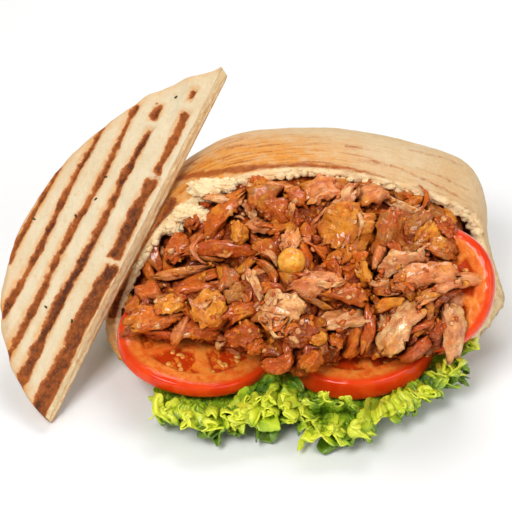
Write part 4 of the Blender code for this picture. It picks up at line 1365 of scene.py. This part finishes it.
def paintCreviceShade(pieces):  # painted shade where other pieces, but not crumbs, shut a point in
    tree, reach = treeOf(*pieces[:3]), meat["creviceReach"]
    probes = [Vector(way) for way in meat["probes"]]
    for piece in pieces:
        shade = np.empty(len(piece.data.vertices))
        piece.data.attributes["shade"].data.foreach_get("value", shade)
        for number, vert in enumerate(piece.data.vertices):
            start = vert.co + vert.normal * meat["skin"]
            shut = 0.0
            for probe in probes:
                away = tree.ray_cast(start, (vert.normal + probe).normalized(), reach)[3]
                if away is not None:
                    shut += 1 - away / reach
            shade[number] = min(1.0, 0.35 * shade[number] + 1.45 * shut / len(probes))
        mark(piece, shade=shade)


def meatMaterial(name, glaze):
    material, nodes, shader = newMaterial(
        name,
        Subsurface_Weight=0.12,
        Subsurface_Scale=0.003,
        Subsurface_Radius=(1.0, 0.4, 0.2),
        Coat_Roughness=0.12,
        Specular_IOR_Level=0.10,
    )
    inputs = {
        "Fibre": nodes.attribute("fibre", "Vector"),
        "Vector": nodes.place(),
        "Tint": nodes.attribute("tint", "Vector"),
        "Shade": nodes.attribute("shade"),
        "Glaze": glaze,
    }
    flesh = nodes.add("Group", inputs, node_tree=meatFibre).outputs
    wet = nodes.wetted(nodes.place(), 260.0, 0.30, 0.58)
    # juice shines where the meat is open; the coat fades out where shade is painted
    bare = nodes.spread(nodes.attribute("shade"), 0.65, 0.05)
    coat = nodes.times(bare, nodes.spread(wet["Mask"], 0.0, 1.0, 0.25, 0.8))
    normal = nodes.bump(flesh["Height"], 0.0008, 0.8)
    nodes.wire(shader, Base_Color=flesh["Color"], Roughness=wet["Roughness"], Coat_Weight=coat, Normal=normal)
    return material


core = makeCore()
slices = [piece for piece in bpy.context.scene.objects if piece.name.startswith("tomatoSlice")]
heaped = (core, *makeMeat(core, slices))
paintCreviceShade(heaped)
for piece, (name, glaze) in zip(heaped, (("Core", 0.4), ("Pieces", 0.45), ("Shreds", 0.55), ("Crumbs", 0.5))):
    finishPiece(piece, meatMaterial(f"roast{name}", glaze), "roast_chicken", "chicken_filling")


# flakes of dried herb on the flap: x and height in the view
herbs = {
    "places": (
        (-0.0859, 0.0339),
        (-0.0902, 0.0245),
        (-0.0988, 0.0172),
        (-0.1168, 0.0159),
        (-0.0558, 0.0682),
        (-0.1005, -0.0279),
        (-0.1116, -0.0219),
    ),
    "size": (0.0009, 0.0005, 0.0003),
}


def makeHerbs(bread):
    tree = treeOf(bread)
    flakes = []
    for number, place in enumerate(herbs["places"]):
        hit, normal = seat(tree, *place)
        flake = addPrimitive("ico_sphere", f"herb{number}", subdivisions=3, radius=1.0)
        ball = pointsOf(flake)
        lumps = 1 + 0.45 * bumpiness(ball, 1.6, number * 3.0, 2)
        spot = seatFrame(hit, normal, number * 0.9, 0.0)
        setPoints(flake, moved(ball * lumps[:, None] * herbs["size"], spot))
        flakes.append(flake)
    return joinPieces(flakes, "herbFlakes")


def herbMaterial():
    material, nodes, shader = newMaterial("driedHerb", Roughness=0.6, Specular_IOR_Level=0.2)
    place = nodes.place()
    tone = nodes.mix(nodes.patches(place, 900.0, 2.0, 0.35, 0.65), colour(38, 40, 16), colour(84, 74, 34))
    nodes.wire(shader, Base_Color=tone, Normal=nodes.bump(nodes.noise(place, 2500.0, 2.0), 0.0001, 0.6))
    return material


finishPiece(makeHerbs(bpy.data.objects["pitaFlapBread"]), herbMaterial(), "grilled_crust", "pita_flap")


def makeChickpea():
    low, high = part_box("chickpea")
    middle = (Vector(low) + Vector(high)) / 2
    piece = addPrimitive("ico_sphere", "chickpeaBall", subdivisions=6, radius=1.0)
    ball = pointsOf(piece)
    towardsBeak = ball @ np.array(Vector(chickpea["beakWay"]).normalized())
    beak = np.clip(towardsBeak, 0, 1) ** 14
    crease = np.exp(-((ball @ np.array([0.9, 0.1, -0.3])) / 0.10) ** 2) * np.clip(towardsBeak + 0.2, 0, 1)
    size = 1 + 0.13 * beak - 0.05 * crease
    size += 0.035 * bumpiness(ball, 1.6, 3.0, 2) + 0.006 * bumpiness(ball, 9.0, 1.0, 2)
    setPoints(piece, ball * size[:, None] * chickpea["radius"] * chickpea["swell"] + np.array(middle))
    return piece


def chickpeaMaterial():
    material, nodes, shader = newMaterial(
        "chickpeaSkin", Subsurface_Weight=0.2, Subsurface_Scale=0.003, Coat_Weight=0.2, Coat_Roughness=0.3
    )
    place = nodes.place()
    tone = nodes.painted(
        colour(226, 138, 32),
        (nodes.patches(place, 260.0, 4.0, 0.35, 0.65), colour(248, 190, 74)),
        (nodes.patches(place, 900.0, 3.0, 0.58, 0.72, 0.6), colour(170, 86, 24)),
    )
    rough = nodes.wetted(place, 500.0, 0.28, 0.45)["Roughness"]
    normal = nodes.bump(nodes.noise(place, 1300.0, 3.0), 0.0002, 0.6)
    nodes.wire(shader, Base_Color=tone, Roughness=rough, Normal=normal)
    return material


finishPiece(makeChickpea(), chickpeaMaterial(), "chickpea_skin", "chickpea")


# floor, lights and camera
studio = {
    "floorSize": 8.0,
    "floorZ": -0.0004,
    "floorColours": ((0.84, 0.84, 0.84, 1.0), (0.86, 0.86, 0.86, 1.0)),
    "skyColour": (1.0, 0.99, 0.97, 1.0),
    "skyStrength": 0.26,
    "aim": Vector((0, 0, 0.03)),
    "lights": (
        ("keyLight", (-0.45, -0.75, 1.00), 0.50, 12.4),
        ("fillLight", (0.75, -0.65, 0.60), 0.80, 4.6),
        ("backLight", (0.15, 0.75, 0.95), 0.70, 7.6),
    ),
}


def makeFloor():
    floor = addPrimitive("plane", "floor", size=studio["floorSize"], location=(0, 0, studio["floorZ"]))
    material, nodes, shader = newMaterial("paleFloor", Roughness=0.85)
    tone = nodes.mix(nodes.patches(nodes.place(), 3.0, 3.0, 0.3, 0.7), *studio["floorColours"])
    nodes.wire(shader, Base_Color=tone)
    floor.data.materials.append(material)


def makeLights():
    for name, place, size, energy in studio["lights"]:
        bpy.ops.object.light_add(type="AREA", location=place)
        light = bpy.context.active_object
        light.name = name
        light.data.size = size
        light.data.energy = energy
        light.rotation_euler = (studio["aim"] - Vector(place)).to_track_quat("-Z", "Y").to_euler()
    world = bpy.data.worlds.new("studioWorld")
    world.use_nodes = True
    sky = world.node_tree.nodes["Background"].inputs
    sky["Color"].default_value = studio["skyColour"]
    sky["Strength"].default_value = studio["skyStrength"]
    bpy.context.scene.world = world


def makeCamera():
    bpy.ops.object.camera_add(location=eye, rotation=(math.pi / 2 - viewing["height"], 0, 0))
    camera = bpy.context.active_object
    camera.name = "viewCamera"
    camera.data.lens = viewing["lens"]
    camera.data.sensor_width = viewing["sensor"]
    bpy.context.scene.camera = camera
    bpy.context.scene.view_settings.view_transform = "Standard"


makeFloor()
makeLights()
makeCamera()
print("studio ready")
